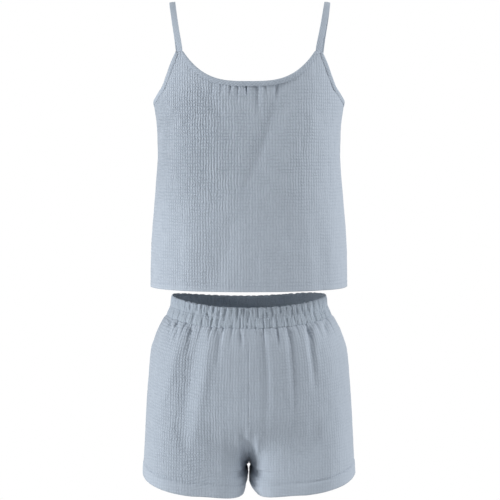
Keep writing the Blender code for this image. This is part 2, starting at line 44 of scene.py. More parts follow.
clothSettings = {
    "thickness": 1.2,
    "seamHalfGap": 0.12,
    "seamRoll": 0.8,
    "seamRollWidth": 1.8,
    "allowance": [(0.3, 1.5), (3.0, 2.6), (7.0, 2.8)],  # past the seam, and behind the face
    "ribDepth": 0.45,
    "ribPitch": 9.0,
    "ribStretch": 5.0,
    "puckerDepth": 0.28,
    "puckerPitch": 13.0,
    "puckerStretch": 1.6,
    "dentShare": 0.8,
    "dentPitch": (5.5, 7.0),
}
# Places and outward directions on a grid, how far across and down the cloth each one is, how deep
# its puckers are there, and how far these are crossed by bars
Cloth = namedtuple("Cloth", "places outward across down puckers bars")


# Small sums that every garment piece uses

def between(start, end, share):
    return start + (end - start) * share


def ease(value):
    held = np.clip(value, 0.0, 1.0)
    return held * held * (3.0 - 2.0 * held)


def power(value, exponent):
    return np.sign(value) * np.abs(value) ** exponent


def unit(vectors):
    return vectors / np.maximum(np.linalg.norm(vectors, axis=-1, keepdims=True), 1e-9)


def bell(distance, width):
    return np.exp(-((distance / width) ** 2))


def pinch(offset, rim, fall):
    # Across a crease with raised rims, where the offset from its middle is counted in its widths
    return (1.0 - rim * offset**2) * np.exp(-fall * offset**2)


def curveThrough(xs, ys):
    # A smooth curve through the points, which never swings past them
    xs, ys = np.array(xs, float), np.array(ys, float)
    slopes = np.diff(ys) / np.diff(xs)
    tangents = np.zeros(len(xs))
    tangents[0], tangents[-1] = slopes[0], slopes[-1]
    for i in range(1, len(slopes)):
        if slopes[i - 1] * slopes[i] > 0.0:
            tangents[i] = 2.0 * slopes[i - 1] * slopes[i] / (slopes[i - 1] + slopes[i])

    def heightAt(x):
        x = np.clip(x, xs[0], xs[-1])
        i = np.clip(np.searchsorted(xs, x, side="right") - 1, 0, len(slopes) - 1)
        width = xs[i + 1] - xs[i]
        s = (x - xs[i]) / width
        return (
            ys[i] * (1 + 2 * s) * (1 - s) ** 2
            + ys[i + 1] * s * s * (3 - 2 * s)
            + width * s * (1 - s) * (tangents[i] * (1 - s) - tangents[i + 1] * s)
        )

    return heightAt


def lengthsAlong(places, axis=0):
    steps = np.linalg.norm(np.diff(places, axis=axis), axis=-1)
    start = np.zeros_like(np.take(steps, [0], axis=axis))
    return np.concatenate([start, np.cumsum(steps, axis=axis)], axis=axis)


def spacedRuns(stops, spacings):
    # Values from the first stop to the last, each run between stops cut into steps of its spacing
    values = [stops[0]]
    for start, end, spacing in zip(stops, stops[1:], spacings):
        count = max(1, round(abs(end - start) / spacing))
        values += [between(start, end, (k + 1) / count) for k in range(count)]
    return np.array(values)


def outwardNormals(places, face):
    normals = unit(np.cross(np.gradient(places, axis=0), np.gradient(places, axis=1)))
    middle = normals[places.shape[0] // 2, places.shape[1] // 3]
    return normals if middle[1] * face > 0.0 else -normals


def roundSection(angle, halfWidth, depth, roundness, face):
    # Places on a rounded section. The angle runs from 0 at the wearer's right side seam to 180 at
    # the left.
    turn = np.radians(angle)
    exponent = 2.0 / roundness
    x = -halfWidth * power(np.cos(turn), exponent)
    y = face * np.maximum(depth * np.abs(np.sin(turn)) ** exponent, clothSettings["seamHalfGap"])
    return x, y


def outOfSection(x, y, halfWidth, depth, roundness):
    # The level outward direction at places on a rounded section
    outX = power(x / halfWidth, roundness - 1.0) / halfWidth
    outY = power(y / depth, roundness - 1.0) / depth
    return unit(np.stack([outX, outY, 0.0 * outX], axis=-1))


def noiseField(across, down, seed):
    flat = zip(across.ravel(), down.ravel())
    return np.array([noise.noise((a, d, seed)) for a, d in flat]).reshape(across.shape)


def crinkle(across, down, seed):
    # Soft ribs that run down the gauze, broken by shorter puckers across it
    c = clothSettings
    ribs = noiseField(across / c["ribPitch"], down / (c["ribPitch"] * c["ribStretch"]), seed)
    puckerWidth = c["puckerPitch"] * c["puckerStretch"]
    puckers = noiseField(across / puckerWidth, down / c["puckerPitch"], seed + 7.3)
    dents = noiseField(across / c["dentPitch"][0], down / c["dentPitch"][1], seed + 19.1)
    return c["ribDepth"] * ribs + c["puckerDepth"] * (puckers + c["dentShare"] * dents)


# Folds. A trough, or a ridge where the depth is negative, runs down from xTop by way of xMid to
# xLow. One that springs from a gathered seam is pinched; the others swell midway and die away at
# both ends.
Fold = namedtuple("Fold", "xTop xMid xLow zTop zLow depth width pinched")


def foldRelief(folds, x, z):
    relief = np.zeros_like(x)
    for fold in folds:
        s = (fold.zTop - z) / (fold.zTop - fold.zLow)
        leadIn = np.clip(1.0 + s / 0.12, 0.0, 1.0)
        t = np.clip(s, 0.0, 1.0)
        centre = (1 - t) * (1 - 2 * t) * fold.xTop + 4 * t * (1 - t) * fold.xMid
        centre = centre + t * (2 * t - 1) * fold.xLow
        offset = (x - centre) / fold.width
        if fold.pinched:
            along = np.cos(math.pi * t / 2)
            across = pinch(offset, 0.55, 0.9)
        else:
            along = np.sin(math.pi * t)
            across = np.exp(-(offset**2))
        relief += fold.depth * along * leadIn * across
    return relief


# Gathers. The many short creases where cloth is drawn up on elastic or into a binding.
Gather = namedtuple("Gather", "place lean depth width reach")


def drawGathers(seed, start, end, pitch, depths, widths, reaches, lean):
    dice = random.Random(seed)
    gathers = []
    place = start + pitch * 0.5
    while place < end - pitch * 0.4:
        gathers.append(
            Gather(
                place + dice.uniform(-0.22, 0.22) * pitch,
                dice.uniform(-lean, lean),
                dice.uniform(*depths) * dice.choice((0.55, 1.0, 1.0, 1.25)),
                dice.uniform(*widths),
                dice.uniform(*reaches),
            )
        )
        place += pitch * dice.uniform(0.72, 1.28)
    return gathers


def gatherRelief(gathers, across, fromSeam):
    relief = np.zeros_like(across)
    for gather in gathers:
        s = np.clip(fromSeam / gather.reach, 0.0, 1.0)
        offset = (across - gather.place - gather.lean * s) / gather.width
        relief += gather.depth * (1.0 - s) ** 1.3 * pinch(offset, 0.5, 0.85)
    return relief


def layGathers(spots):
    # Gathers listed one by one, each given as its place and its depth. The deep ones are wide and long.
    return [
        Gather(place, 0.04 * place, depth, 0.9 + 0.42 * depth, 8.0 + 11.0 * depth)
        for place, depth in spots
    ]


def gathersAlong(gathers, xs, lengths):
    # The same gathers, with their places across turned into lengths along a line
    return [g._replace(place=float(np.interp(g.place, xs, lengths))) for g in gathers]


# Meshes

def evenCloth(places, outward, lengths, puckers, bars):
    # A strip or tube with the same puckers all over, the lengths running along it
    shape = places.shape[:2]
    across = np.broadcast_to(lengths[:, None], shape)
    down = lengthsAlong(places, 1)
    return Cloth(places, outward, across, down, np.full(shape, puckers), np.full(shape, bars))


def puckersAt(table, across):
    # How deep the puckers are and how far bars cross them, at places across a panel
    return [curveThrough(table["across"], table[field])(across) for field in ("puckers", "bars")]


def turnUnder(cloth, end, deeper=0.0, levelRows=0, levelPast=None):
    # The seam allowance: past this end the cloth turns in and lies behind the next panel. Its first
    # levelRows rows turn to levelPast, and the others go on the way the cloth was going.
    inner = 2 if end == 0 else -3
    past = cloth.places[end] - cloth.places[inner]
    if levelRows:
        past[:levelRows] = levelPast
    past = unit(past)
    fields = []
    for name, field in zip(Cloth._fields, cloth):
        strips = []
        for beyond, behind in clothSettings["allowance"]:
            if name == "places":
                strips.append(field[end] + past * beyond - cloth.outward[end] * (behind + deeper))
            elif name == "across":
                strips.append(field[end] + np.sign(field[end] - field[inner]) * (beyond + behind))
            else:
                strips.append(field[end])
        strips = np.stack(strips)
        fields.append(np.concatenate([strips[::-1], field] if end == 0 else [field, strips]))
    return Cloth(*fields)


def swapped(cloth):
    return Cloth(*(np.swapaxes(field, 0, 1) for field in cloth))


def finishPiece(mesh, material, nodes, thickness):
    mesh.materials.append(material)
    mesh.shade_smooth()
    piece = bpy.data.objects.new(mesh.name, mesh)
    bpy.context.scene.collection.objects.link(piece)
    if thickness:
        wall = piece.modifiers.new("cloth", "SOLIDIFY")
        wall.thickness = thickness * mm
        wall.offset = -1.0
        wall.use_even_offset = False
    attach(piece, "root")
    if nodes:
        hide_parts(*nodes)
    return piece


def layCloth(node, cloth, material, thickness):
    # A plain grid in place of a CAD node, laid on the cloth's places, with its own map of cloth
    # lengths in metres
    columns, rows = cloth.places.shape[:2]
    bm = bmesh.new()
    bmesh.ops.create_grid(bm, x_segments=columns - 1, y_segments=rows - 1, size=0.5)
    mesh = bpy.data.meshes.new(node + "_cloth")
    bm.to_mesh(mesh)
    bm.free()
    flat = np.empty(len(mesh.vertices) * 3)
    mesh.vertices.foreach_get("co", flat)
    i = np.rint((flat[0::3] + 0.5) * (columns - 1)).astype(int)
    j = np.rint((flat[1::3] + 0.5) * (rows - 1)).astype(int)
    mesh.vertices.foreach_set("co", (cloth.places[i, j] * mm).ravel())
    corners = np.empty(len(mesh.loops), dtype=np.int32)
    mesh.loops.foreach_get("vertex_index", corners)
    clothMap = mesh.uv_layers.new(name="cloth")
    lengths = np.stack([cloth.across[i, j], cloth.down[i, j]], axis=-1) * mm
    clothMap.data.foreach_set("uv", lengths[corners].ravel())
    for field in ("puckers", "bars"):
        layer = mesh.attributes.new(field, "FLOAT", "POINT")
        layer.data.foreach_set("value", getattr(cloth, field)[i, j])
    mesh.update()
    middle = mesh.polygons[len(mesh.polygons) // 2]
    corner = middle.vertices[0]
    if Vector(cloth.outward[i[corner], j[corner]]).dot(middle.normal) < 0.0:
        mesh.flip_normals()
    return finishPiece(mesh, material, [node], thickness)


def sewStitches(name, line, outward, pitch=3.2, length=2.1, radius=0.2):
    # Thread showing on a seam: short rods end to end along a line of places
    lengths = lengthsAlong(line)
    count = int(lengths[-1] / pitch)
    bm = bmesh.new()
    for k in range(count):
        middle = (k + 0.5) * pitch
        spots = [
            Vector([np.interp(at, lengths, line[:, axis]) for axis in range(3)])
            for at in (middle - length / 2, middle + length / 2)
        ]
        lift = Vector([np.interp(middle, lengths, outward[:, axis]) for axis in range(3)]).normalized()
        along = (spots[1] - spots[0]).normalized()
        turn = along.to_track_quat("Z", "Y").to_matrix().to_4x4()
        spot = (spots[0] + spots[1]) / 2 + lift * radius * 0.6
        bmesh.ops.create_cone(
            bm, cap_ends=True, segments=6, radius1=radius * mm, radius2=radius * mm,
            depth=length * mm, matrix=Matrix.Translation(spot * mm) @ turn,
        )
    mesh = bpy.data.meshes.new(name)
    bm.to_mesh(mesh)
    bm.free()
    return finishPiece(mesh, thread, [], 0.0)


# Materials

def linearColour(hexColour):
    channels = [int(hexColour[k:k + 2], 16) / 255.0 for k in (1, 3, 5)]
    return [c / 12.92 if c <= 0.04045 else ((c + 0.055) / 1.055) ** 2.4 for c in channels] + [1.0]


def addNode(tree, kind, settings=None, links=None):
    # A node with its settings, and links into its inputs given as {input: output socket or value}
    node = tree.nodes.new(kind)
    for key, value in (settings or {}).items():
        setattr(node, key, value)
    for key, value in (links or {}).items():
        if isinstance(value, bpy.types.NodeSocket):
            tree.links.new(value, node.inputs[key])
        else:
            node.inputs[key].default_value = value
    return node


gauzeSettings = {
    "cellWidth": 4.9,
    "cellHeight": 5.6,
    "cellDepth": 0.95,
    "sideRoundness": 1.2,
    "endRoundness": 1.1,
    "drift": 4.8,
    "driftScale": 0.045,
    "jitter": 2.6,
    "jitterScale": 0.21,
    "patchScale": 0.04,
    "patchShift": (-0.3, 0.6),
    "unevenness": 0.8,
    "unevenScale": 0.33,
    "weavePitch": 0.55,
    "weaveDepth": 0.05,
    "weaveStrength": 0.35,
    "roughness": 0.92,
    "sheen": 0.12,
}


def doubleGauze(name, hexColour, hexCreaseShade, turn=0.0, cellScale=1.0, depthScale=1.0):
    # Two plain-woven layers of fine cotton, caught together at points about 5 mm apart. Washed, the
    # cloth between those points puffs into small uneven cells, and painted shade darkens the creases
    # between them.
    g = gauzeSettings
    material = bpy.data.materials.new(name)
    material.use_nodes = True
    tree = material.node_tree
    tree.nodes.clear()
    output = addNode(tree, "ShaderNodeOutputMaterial")
    clothMap = addNode(tree, "ShaderNodeUVMap", {"uv_map": "cloth"}).outputs["UV"]
    inMillimetres = addNode(
        tree, "ShaderNodeMapping", {"vector_type": "POINT"},
        {"Vector": clothMap, "Scale": (1000.0, 1000.0, 1000.0), "Rotation": (0.0, 0.0, turn)},
    ).outputs[0]

    def clouds(scale, detail, roughness):
        return addNode(
            tree, "ShaderNodeTexNoise", None,
            {"Vector": inMillimetres, "Scale": scale, "Detail": detail, "Roughness": roughness},
        )

    def shifted(vector, by, distance):
        return addNode(
            tree, "ShaderNodeVectorMath", {"operation": "MULTIPLY_ADD"},
            {0: by.outputs["Color"], 1: (distance, distance, 0.0), 2: vector},
        ).outputs[0]

    def calculate(operation, *values, clamp=False):
        settings = {"operation": operation, "use_clamp": clamp}
        return addNode(tree, "ShaderNodeMath", settings, dict(enumerate(values))).outputs[0]

    def puff(along, size, roundness):
        wave = calculate("SINE", calculate("MULTIPLY", along, math.pi / (size * cellScale)))
        return calculate("POWER", calculate("ABSOLUTE", wave), roundness)

    drifted = shifted(inMillimetres, clouds(g["driftScale"], 2.0, 0.55), g["drift"])
    jittered = shifted(drifted, clouds(g["jitterScale"], 1.0, 0.5), g["jitter"])
    cellPlace = addNode(tree, "ShaderNodeSeparateXYZ", None, {0: jittered})
    ribs = puff(cellPlace.outputs["X"], g["cellWidth"], g["sideRoundness"])
    bars = puff(cellPlace.outputs["Y"], g["cellHeight"], g["endRoundness"])
    cells = calculate("MULTIPLY", ribs, bars)
    depth = addNode(tree, "ShaderNodeAttribute", {"attribute_name": "puckers"}).outputs["Fac"]
    crossed = addNode(tree, "ShaderNodeAttribute", {"attribute_name": "bars"}).outputs["Fac"]
    patches = clouds(g["patchScale"], 2.0, 0.6).outputs["Fac"]
    patchShift = addNode(
        tree, "ShaderNodeMapRange", None,
        {"Value": patches, "From Min": 0.35, "From Max": 0.65,
         "To Min": g["patchShift"][0], "To Max": g["patchShift"][1]},
    ).outputs[0]
    relief = addNode(
        tree, "ShaderNodeMix", {"data_type": "FLOAT"},
        {"Factor": calculate("ADD", crossed, patchShift, clamp=True), "A": ribs, "B": cells},
    ).outputs[0]
    uneven = clouds(g["unevenScale"], 2.0, 0.6).outputs["Fac"]
    unevenRelief = calculate("MULTIPLY_ADD", uneven, g["unevenness"], relief)
    # The real threads lie about 0.3 mm apart, too fine to show here, so they are drawn 0.55 mm apart
    threadPlace = addNode(tree, "ShaderNodeSeparateXYZ", None, {0: inMillimetres})
    threads = [
        calculate("SINE", calculate("MULTIPLY", threadPlace.outputs[axis], 2.0 * math.pi / g["weavePitch"]))
        for axis in ("X", "Y")
    ]
    cellBump = addNode(
        tree, "ShaderNodeBump", None,
        {"Strength": 1.0, "Distance": g["cellDepth"] * depthScale * mm,
         "Height": calculate("MULTIPLY", unevenRelief, depth)},
    )
    weaveBump = addNode(
        tree, "ShaderNodeBump", None,
        {"Strength": g["weaveStrength"], "Distance": g["weaveDepth"] * mm,
         "Height": calculate("MULTIPLY", *threads), "Normal": cellBump.outputs[0]},
    )
    # Painted shade: the colour goes over to the crease shade colour in the hollows between the puffs, the
    # more so where the puckers are deeper
    tone = addNode(
        tree, "ShaderNodeMapRange", None,
        {"Value": unevenRelief, "From Min": 0.3, "From Max": 1.05, "To Min": 0.0, "To Max": 1.0},
    ).outputs[0]
    shade = calculate("SUBTRACT", 1.0, tone, clamp=True)
    shadeDepth = calculate("MULTIPLY_ADD", depth, 0.4, 0.25, clamp=True)
    colour = addNode(
        tree, "ShaderNodeMix", {"data_type": "RGBA"}, {"Factor": calculate("MULTIPLY", shade, shadeDepth)}
    )
    clothTone, creaseShade = [s for s in colour.inputs if s.type == "RGBA"]
    clothTone.default_value = linearColour(hexColour)
    creaseShade.default_value = linearColour(hexCreaseShade)
    colourOut = [s for s in colour.outputs if s.type == "RGBA"][0]
    shader = addNode(
        tree, "ShaderNodeBsdfPrincipled", None,
        {"Base Color": colourOut, "Roughness": g["roughness"], "Normal": weaveBump.outputs[0],
         "Sheen Weight": g["sheen"], "Sheen Roughness": 0.5, "Specular IOR Level": 0.2},
    )
    tree.links.new(shader.outputs[0], output.inputs["Surface"])
    return material


def cottonThread(name, hexColour):
    # Spun cotton sewing thread, two plies twisted, dull
    material = bpy.data.materials.new(name)
    material.use_nodes = True
    tree = material.node_tree
    shader = tree.nodes["Principled BSDF"]
    shader.inputs["Roughness"].default_value = 0.8
    shader.inputs["Specular IOR Level"].default_value = 0.25
    where = addNode(tree, "ShaderNodeTexCoord")
    twist = addNode(
        tree, "ShaderNodeTexNoise", None,
        {"Vector": where.outputs["Object"], "Scale": 1800.0, "Detail": 1.0},
    )
    tone = addNode(
        tree, "ShaderNodeMapRange", None,
        {"Value": twist.outputs["Fac"], "To Min": 0.88, "To Max": 1.1},
    )
    base = addNode(tree, "ShaderNodeVectorMath", {"operation": "SCALE"}, {"Scale": tone.outputs[0]})
    base.inputs[0].default_value = linearColour(hexColour)[:3]
    tree.links.new(base.outputs[0], shader.inputs["Base Color"])
    return material


# Each gauze is given its own colour, then the colour of the painted shade in its creases
topCloth = doubleGauze("top double gauze", "#afb9c5", "#919caa")
shortsCloth = doubleGauze("shorts double gauze", "#a9b3bf", "#8b96a3")
topBiasCloth = doubleGauze("bias strip of top gauze", "#abb5c1", "#8c98a6", math.radians(45), 0.8, 0.5)
waistCloth = doubleGauze("waist casing gauze", "#aab5c1", "#87939f", 0.0, 0.8, 0.8)
thread = cottonThread("pale cotton thread", "#b3bdc9")
print("materials made")


# The top: a front and a back panel, filled out round a body

topSettings = {
    "roundness": 2.2,
    "hemZ": -493.5,
    "hemStitch": 13.0,
    "peakOuter": 43.5,
    "peakInner": 48.8,
    "peakInnerX": 113.0,
    "peakZ": -88.5,
    "neckZ": -140.2,
    "neckCurve": 3.2,
    "bindingDepth": 7.4,
    "foldsFrom": 1.2,  # how far above the binding's foot the folds begin, and how soon they are full
    "foldsOver": 1.8,
    "seamFade": 18.0,
    "fluteDepth": 3.0,
    "fluteWidth": 62.0,
    "flutesBelow": -330.0,
    "fluteFade": 150.0,
    "hemGroove": 0.4,
    "hemGrooveWidth": 1.4,
    "grainZ": -300.0,
    "columnsZ": -250.0,
}
topCut = {
    "z": [-496, -434, -392, -350, -308, -266, -235, -204, -174, -139, -86],
    "halfWidth": [172.3, 171.1, 168.6, 165.0, 161.4, 158.8, 159.0, 161.0, 165.0, 166.5, 166.0],
    "front": [121, 120.5, 120, 119.5, 119.5, 119.5, 118.5, 115, 110, 104, 92],
    "back": [106, 104.5, 102.5, 101, 100.5, 101, 101.5, 101, 99, 95, 88],
}
armholeEdge = {
    "angle": [0.0, 14.8, 22.0, 28.4, 34.0, 38.7, 43.5],
    "z": [-174.5, -165.5, -157.5, -147.5, -128.5, -107.5, -88.5],
}
backEdge = {"angle": [0.0, 20.0, 36.0, 62.0, 90.0], "z": [-174.5, -169.0, -167.0, -172.0, -176.0]}
topHalfWidth = curveThrough(topCut["z"], topCut["halfWidth"])
topDepth = {-1: curveThrough(topCut["z"], topCut["front"]), 1: curveThrough(topCut["z"], topCut["back"])}
armholeZ = curveThrough(armholeEdge["angle"], armholeEdge["z"])
backZ = curveThrough(backEdge["angle"], backEdge["z"])

topFolds = {
    -1: [
        Fold(-61, -62, -63, -144, -166, 1.2, 4.5, 1),
        Fold(-45, -46, -47, -146, -172, 1.5, 3.6, 1),
        Fold(-31, -32, -33, -147, -174, 2.0, 2.4, 1),
        Fold(-19, -19, -20, -147, -180, 1.7, 2.4, 1),
        Fold(-4.5, -4, -3, -147, -166, 4.0, 1.7, 1),
        Fold(14, 15, 18, -147, -215, 3.2, 6.0, 1),
        Fold(28, 29, 31, -147, -170, 1.6, 2.6, 1),
        Fold(47, 46, 46, -146, -176, 2.1, 4.0, 1),
        Fold(6, 4, 0, -128, -290, 3.5, 40.0, 0),
        Fold(58, 28, -9, -104, -336, 3.4, 10.0, 0),
        Fold(74, 44, 8, -104, -336, 4.4, 24.0, 0),
        Fold(-80, -52, -28, -140, -246, 3.0, 13.0, 0),
        Fold(-138, -138, -138, -180, -290, 2.2, 11.0, 0),
        Fold(-27, -42, -58, -350, -500, 2.6, 20.0, 0),
        Fold(106, 106, 108, -170, -260, -1.8, 15.0, 0),
        Fold(66, 62, 70, -330, -430, 1.8, 15.0, 0),
        Fold(-96, -98, -102, -330, -520, -2.0, 18.0, 0),
        Fold(118, 122, 126, -360, -520, 1.8, 14.0, 0),
    ],
    1: [
        Fold(-92, -86, -84, -180, -360, 2.4, 13.0, 0),
        Fold(-36, -42, -50, -250, -500, 2.6, 18.0, 0),
        Fold(30, 34, 42, -220, -470, 2.2, 16.0, 0),
        Fold(96, 90, 92, -190, -400, 2.6, 14.0, 0),
        Fold(0, -4, -6, -180, -290, -1.6, 16.0, 0),
        Fold(120, 124, 130, -330, -510, -2.0, 15.0, 0),
    ],
}
neckGathers = drawGathers(11, -58.0, 60.0, 6.5, (0.3, 0.65), (1.2, 1.9), (9.0, 26.0), 3.0)
# How deep the puckers are across each panel, and how far bars cross them
topPuckers = {
    -1: {
        "across": [-200, -95, -35, 60, 200],
        "puckers": [1.5, 1.75, 1.15, 0.75, 0.6],
        "bars": [0.6, 0.85, 0.55, 0.6, 0.65],
    },
    1: {
        "across": [-200, -80, 0, 90, 200],
        "puckers": [0.9, 1.0, 0.6, 0.8, 1.0],
        "bars": [0.7, 0.6, 0.3, 0.5, 0.8],
    },
}


def topPlaces(angle, z, face):
    x, y = roundSection(angle, topHalfWidth(z), topDepth[face](z), topSettings["roundness"], face)
    return np.stack([x, y, z + 0.0 * x], axis=-1)


def topSideways(places, face):
    x, y, z = (places[..., axis] for axis in range(3))
    return outOfSection(x, y, topHalfWidth(z), topDepth[face](z), topSettings["roundness"])


def ontoTop(places, face):
    # The places moved in or out, level, onto the top's smooth surface
    roundness = topSettings["roundness"]
    reach = np.abs(places[..., 0] / topHalfWidth(places[..., 2])) ** roundness
    reach = reach + np.abs(places[..., 1] / topDepth[face](places[..., 2])) ** roundness
    scale = reach ** (-1.0 / roundness)
    return places * np.stack([scale, scale, np.ones_like(scale)], axis=-1)


def frontEdgeZ(angle):
    t = topSettings
    fromSide = np.minimum(angle, 180.0 - angle)
    neckX = np.abs(topPlaces(angle, np.full_like(angle, t["neckZ"]), -1)[..., 0])
    neck = between(t["neckZ"], t["peakZ"], np.minimum(neckX / t["peakInnerX"], 1.0) ** t["neckCurve"])
    pastArmhole = np.where(fromSide <= t["peakInner"], t["peakZ"], neck)
    return np.where(fromSide <= t["peakOuter"], armholeZ(fromSide), pastArmhole)


def backEdgeZ(angle):
    return backZ(np.minimum(angle, 180.0 - angle))


topEdgeZ = {-1: frontEdgeZ, 1: backEdgeZ}


def topRelief(places, across, down, fromEdge, fromSide, face):
    # How far the cloth stands off its smooth form: folds, gathers, crinkle, hem and side seams
    t = topSettings
    x, z = places[..., 0], places[..., 2]
    underBinding = ease((fromEdge - t["bindingDepth"] + t["foldsFrom"]) / t["foldsOver"])
    seamFade = ease(fromSide / t["seamFade"])
    relief = -foldRelief(topFolds[face], x, z) * underBinding * seamFade
    if face < 0:
        relief -= gatherRelief(neckGathers, x, fromEdge - t["bindingDepth"] + 1.0) * underBinding
    flutes = noiseField(across / t["fluteWidth"], z * 0.0 + 3.0, 5.0 + face)
    relief += t["fluteDepth"] * flutes * ease((t["flutesBelow"] - z) / t["fluteFade"]) * seamFade
    relief += crinkle(across, down, 2.0 + face) * (0.25 + 0.75 * underBinding)
    relief -= t["hemGroove"] * bell(z - t["hemZ"] - t["hemStitch"], t["hemGrooveWidth"])
    relief -= clothSettings["seamRoll"] * bell(fromSide, clothSettings["seamRollWidth"])
    return relief


def topAcross(angle, z, face):
    # How far round from the middle, with the grain of the cloth straight up and down
    dense = np.linspace(0.0, 180.0, 361)
    grainZ = topSettings["grainZ"]
    lengths = lengthsAlong(topPlaces(dense, np.full_like(dense, grainZ), face))
    return np.interp(angle, dense, lengths - lengths[180]) * topHalfWidth(z) / topHalfWidth(grainZ)


def topSurface(angle, z, face):
    smooth = topPlaces(angle, z, face)
    normals = outwardNormals(smooth, face)
    along = lengthsAlong(smooth)
    fromSide = np.minimum(along, along[-1:] - along)
    across, down = topAcross(angle, z, face), topSettings["hemZ"] - z
    dense = np.linspace(0.0, 180.0, 361)
    fromEdge = np.full(smooth.shape[:2], np.inf)
    for spot in topPlaces(dense, topEdgeZ[face](dense), face):
        fromEdge = np.minimum(fromEdge, np.linalg.norm(smooth - spot, axis=-1))
    relief = topRelief(smooth, across, down, fromEdge, fromSide, face)
    puckers, bars = puckersAt(topPuckers[face], across)
    puckers = puckers * (0.5 + 0.5 * ease((z - topSettings["hemZ"]) / 14.0))  # flatter in the hem
    puckers = puckers * (1.0 - 0.5 * ease((z + 190.0) / 70.0))  # beside the neck and the armholes
    puckers = puckers * (1.0 - 0.45 * ease((-270.0 - z) / 130.0))  # and over the lower half
    return Cloth(smooth + normals * relief[..., None], normals, across, down, puckers, bars)


def makeTopPanel(name, face, angles, rowCount):
    upper = topEdgeZ[face](angles)
    shares = np.linspace(0.0, 1.0, rowCount)
    z = between(upper[:, None], topSettings["hemZ"], shares[None, :])
    cloth = topSurface(angles[:, None] + 0.0 * z, z, face)
    rowHeight = (topSettings["peakZ"] - topSettings["hemZ"]) / rowCount
    hem = -round(topSettings["hemStitch"] / rowHeight)
    line, outward = cloth.places[:, hem], cloth.outward[:, hem]
    stitches = sewStitches(name + "_hem_thread", line, outward)
    if face < 0:
        cloth = turnUnder(turnUnder(cloth, 0), -1)
    piece = layCloth(name, cloth, topCloth, clothSettings["thickness"])


def mirrored(angles):
    right = angles[angles < 90.0 - 1e-6]
    return np.concatenate([right, [90.0], 180.0 - right[::-1]])


def evenAngles(dense, z, spacing, face):
    # Angles that lie evenly along the line through the dense ones
    lengths = lengthsAlong(topPlaces(dense, z, face))
    count = max(1, round(lengths[-1] / spacing))
    return np.interp(np.linspace(0.0, lengths[-1], count + 1), lengths, dense)


def columnAngles(start, end, spacing, face):
    dense = np.linspace(start, end, 200)
    return evenAngles(dense, np.full_like(dense, topSettings["columnsZ"]), spacing, face)


peakInner, peakOuter = topSettings["peakInner"], topSettings["peakOuter"]
gatheredFrom = 66.0
frontRuns = [
    (0.0, peakOuter, 2.2),
    (peakOuter, peakInner, 2.2),
    (peakInner, gatheredFrom, 2.1),
    (gatheredFrom, 90.0, 1.15),
]
frontAngles = mirrored(np.concatenate([columnAngles(*run, -1)[:-1] for run in frontRuns]))
backAngles = mirrored(columnAngles(0.0, 90.0, 2.35, 1))
makeTopPanel("top_front", -1, frontAngles, 180)
makeTopPanel("top_back", 1, backAngles, 132)
print("top panels made")


# Bindings: bias strips folded over the panels' raw edges and stitched through

bindingSettings = {
    "cloth": 0.8,
    "spacing": 1.5,
    "taper": 14.0,
    "taperedTo": 0.72,
    "ripple": 0.32,
    "stitchRow": 3,
    "puckers": 0.8,
    "bars": 0.6,
}
# Round the folded strip: how far down from the panel's edge, and how far out from its face
BindingPoint = namedtuple("BindingPoint", "down out")
bindingSection = [BindingPoint(*row) for row in (
    (7.5, 0.1), (7.4, 0.55), (6.9, 0.8), (6.1, 0.5), (5.2, 0.85), (3.4, 1.1), (1.6, 1.15),
    (0.4, 1.1), (-0.6, 0.6), (-1.05, -0.6), (-0.7, -1.8), (0.2, -2.3), (2.0, -2.4), (4.6, -2.4),
    (7.0, -2.2),
)]


def makeBinding(name, angles, face, taperStart, taperEnd):
    b = bindingSettings
    edge = topPlaces(angles, topEdgeZ[face](angles), face)
    lengths = lengthsAlong(edge)
    along = np.gradient(edge, axis=0)
    for end in (0, -1):
        if abs(edge[end, 1]) < 1.0:
            along[end] = (0.0, 1.0, 0.0)
    inward = np.cross(unit(along), topSideways(edge, face))
    inward *= -np.sign(inward[:, 2:3])
    inward = unit(inward)
    narrow = np.ones_like(lengths)
    for tapers, fromEnd in ((taperStart, lengths), (taperEnd, lengths[-1] - lengths)):
        if tapers:
            narrow = np.minimum(narrow, between(b["taperedTo"], 1.0, ease(fromEnd / b["taper"])))
    rows, rowDirections = [], []
    for point in bindingSection:
        down = point.down * (narrow if point.down > 1.0 else 1.0)
        base = edge + inward * np.broadcast_to(down, lengths.shape)[:, None]
        onForm = ontoTop(base, face)
        direction = topSideways(onForm, face)
        ripple = b["ripple"] * noiseField(lengths / 5.0, lengths * 0.0 + point.down / 6.0, 31.0 + face)
        rows.append(onForm + direction * (point.out + ripple)[:, None])
        rowDirections.append(direction * (1.0 if point.out > 0.0 else -1.0))
    places, directions = np.stack(rows, axis=1), np.stack(rowDirections, axis=1)
    cloth = evenCloth(places, directions, lengths, b["puckers"], b["bars"])
    piece = layCloth(name, cloth, topBiasCloth, b["cloth"])
    line, outward = places[:, b["stitchRow"]], directions[:, b["stitchRow"]]
    stitches = sewStitches(name + "_thread", line, outward, 2.9, 2.0, 0.17)


def edgeAngles(start, end, face):
    dense = np.linspace(start, end, 400)
    return evenAngles(dense, topEdgeZ[face](dense), bindingSettings["spacing"], face)


makeBinding("neck_binding", edgeAngles(peakInner, 180.0 - peakInner, -1), -1, True, True)
makeBinding("armhole_binding_right", edgeAngles(0.0, peakOuter, -1), -1, False, True)
makeBinding("armhole_binding_left", edgeAngles(180.0 - peakOuter, 180.0, -1), -1, True, False)
makeBinding("back_binding", edgeAngles(0.0, 180.0, 1), 1, False, False)
print("bindings made")


# Straps: a narrow tube of cloth pressed flat, from inside each front peak to inside the back edge

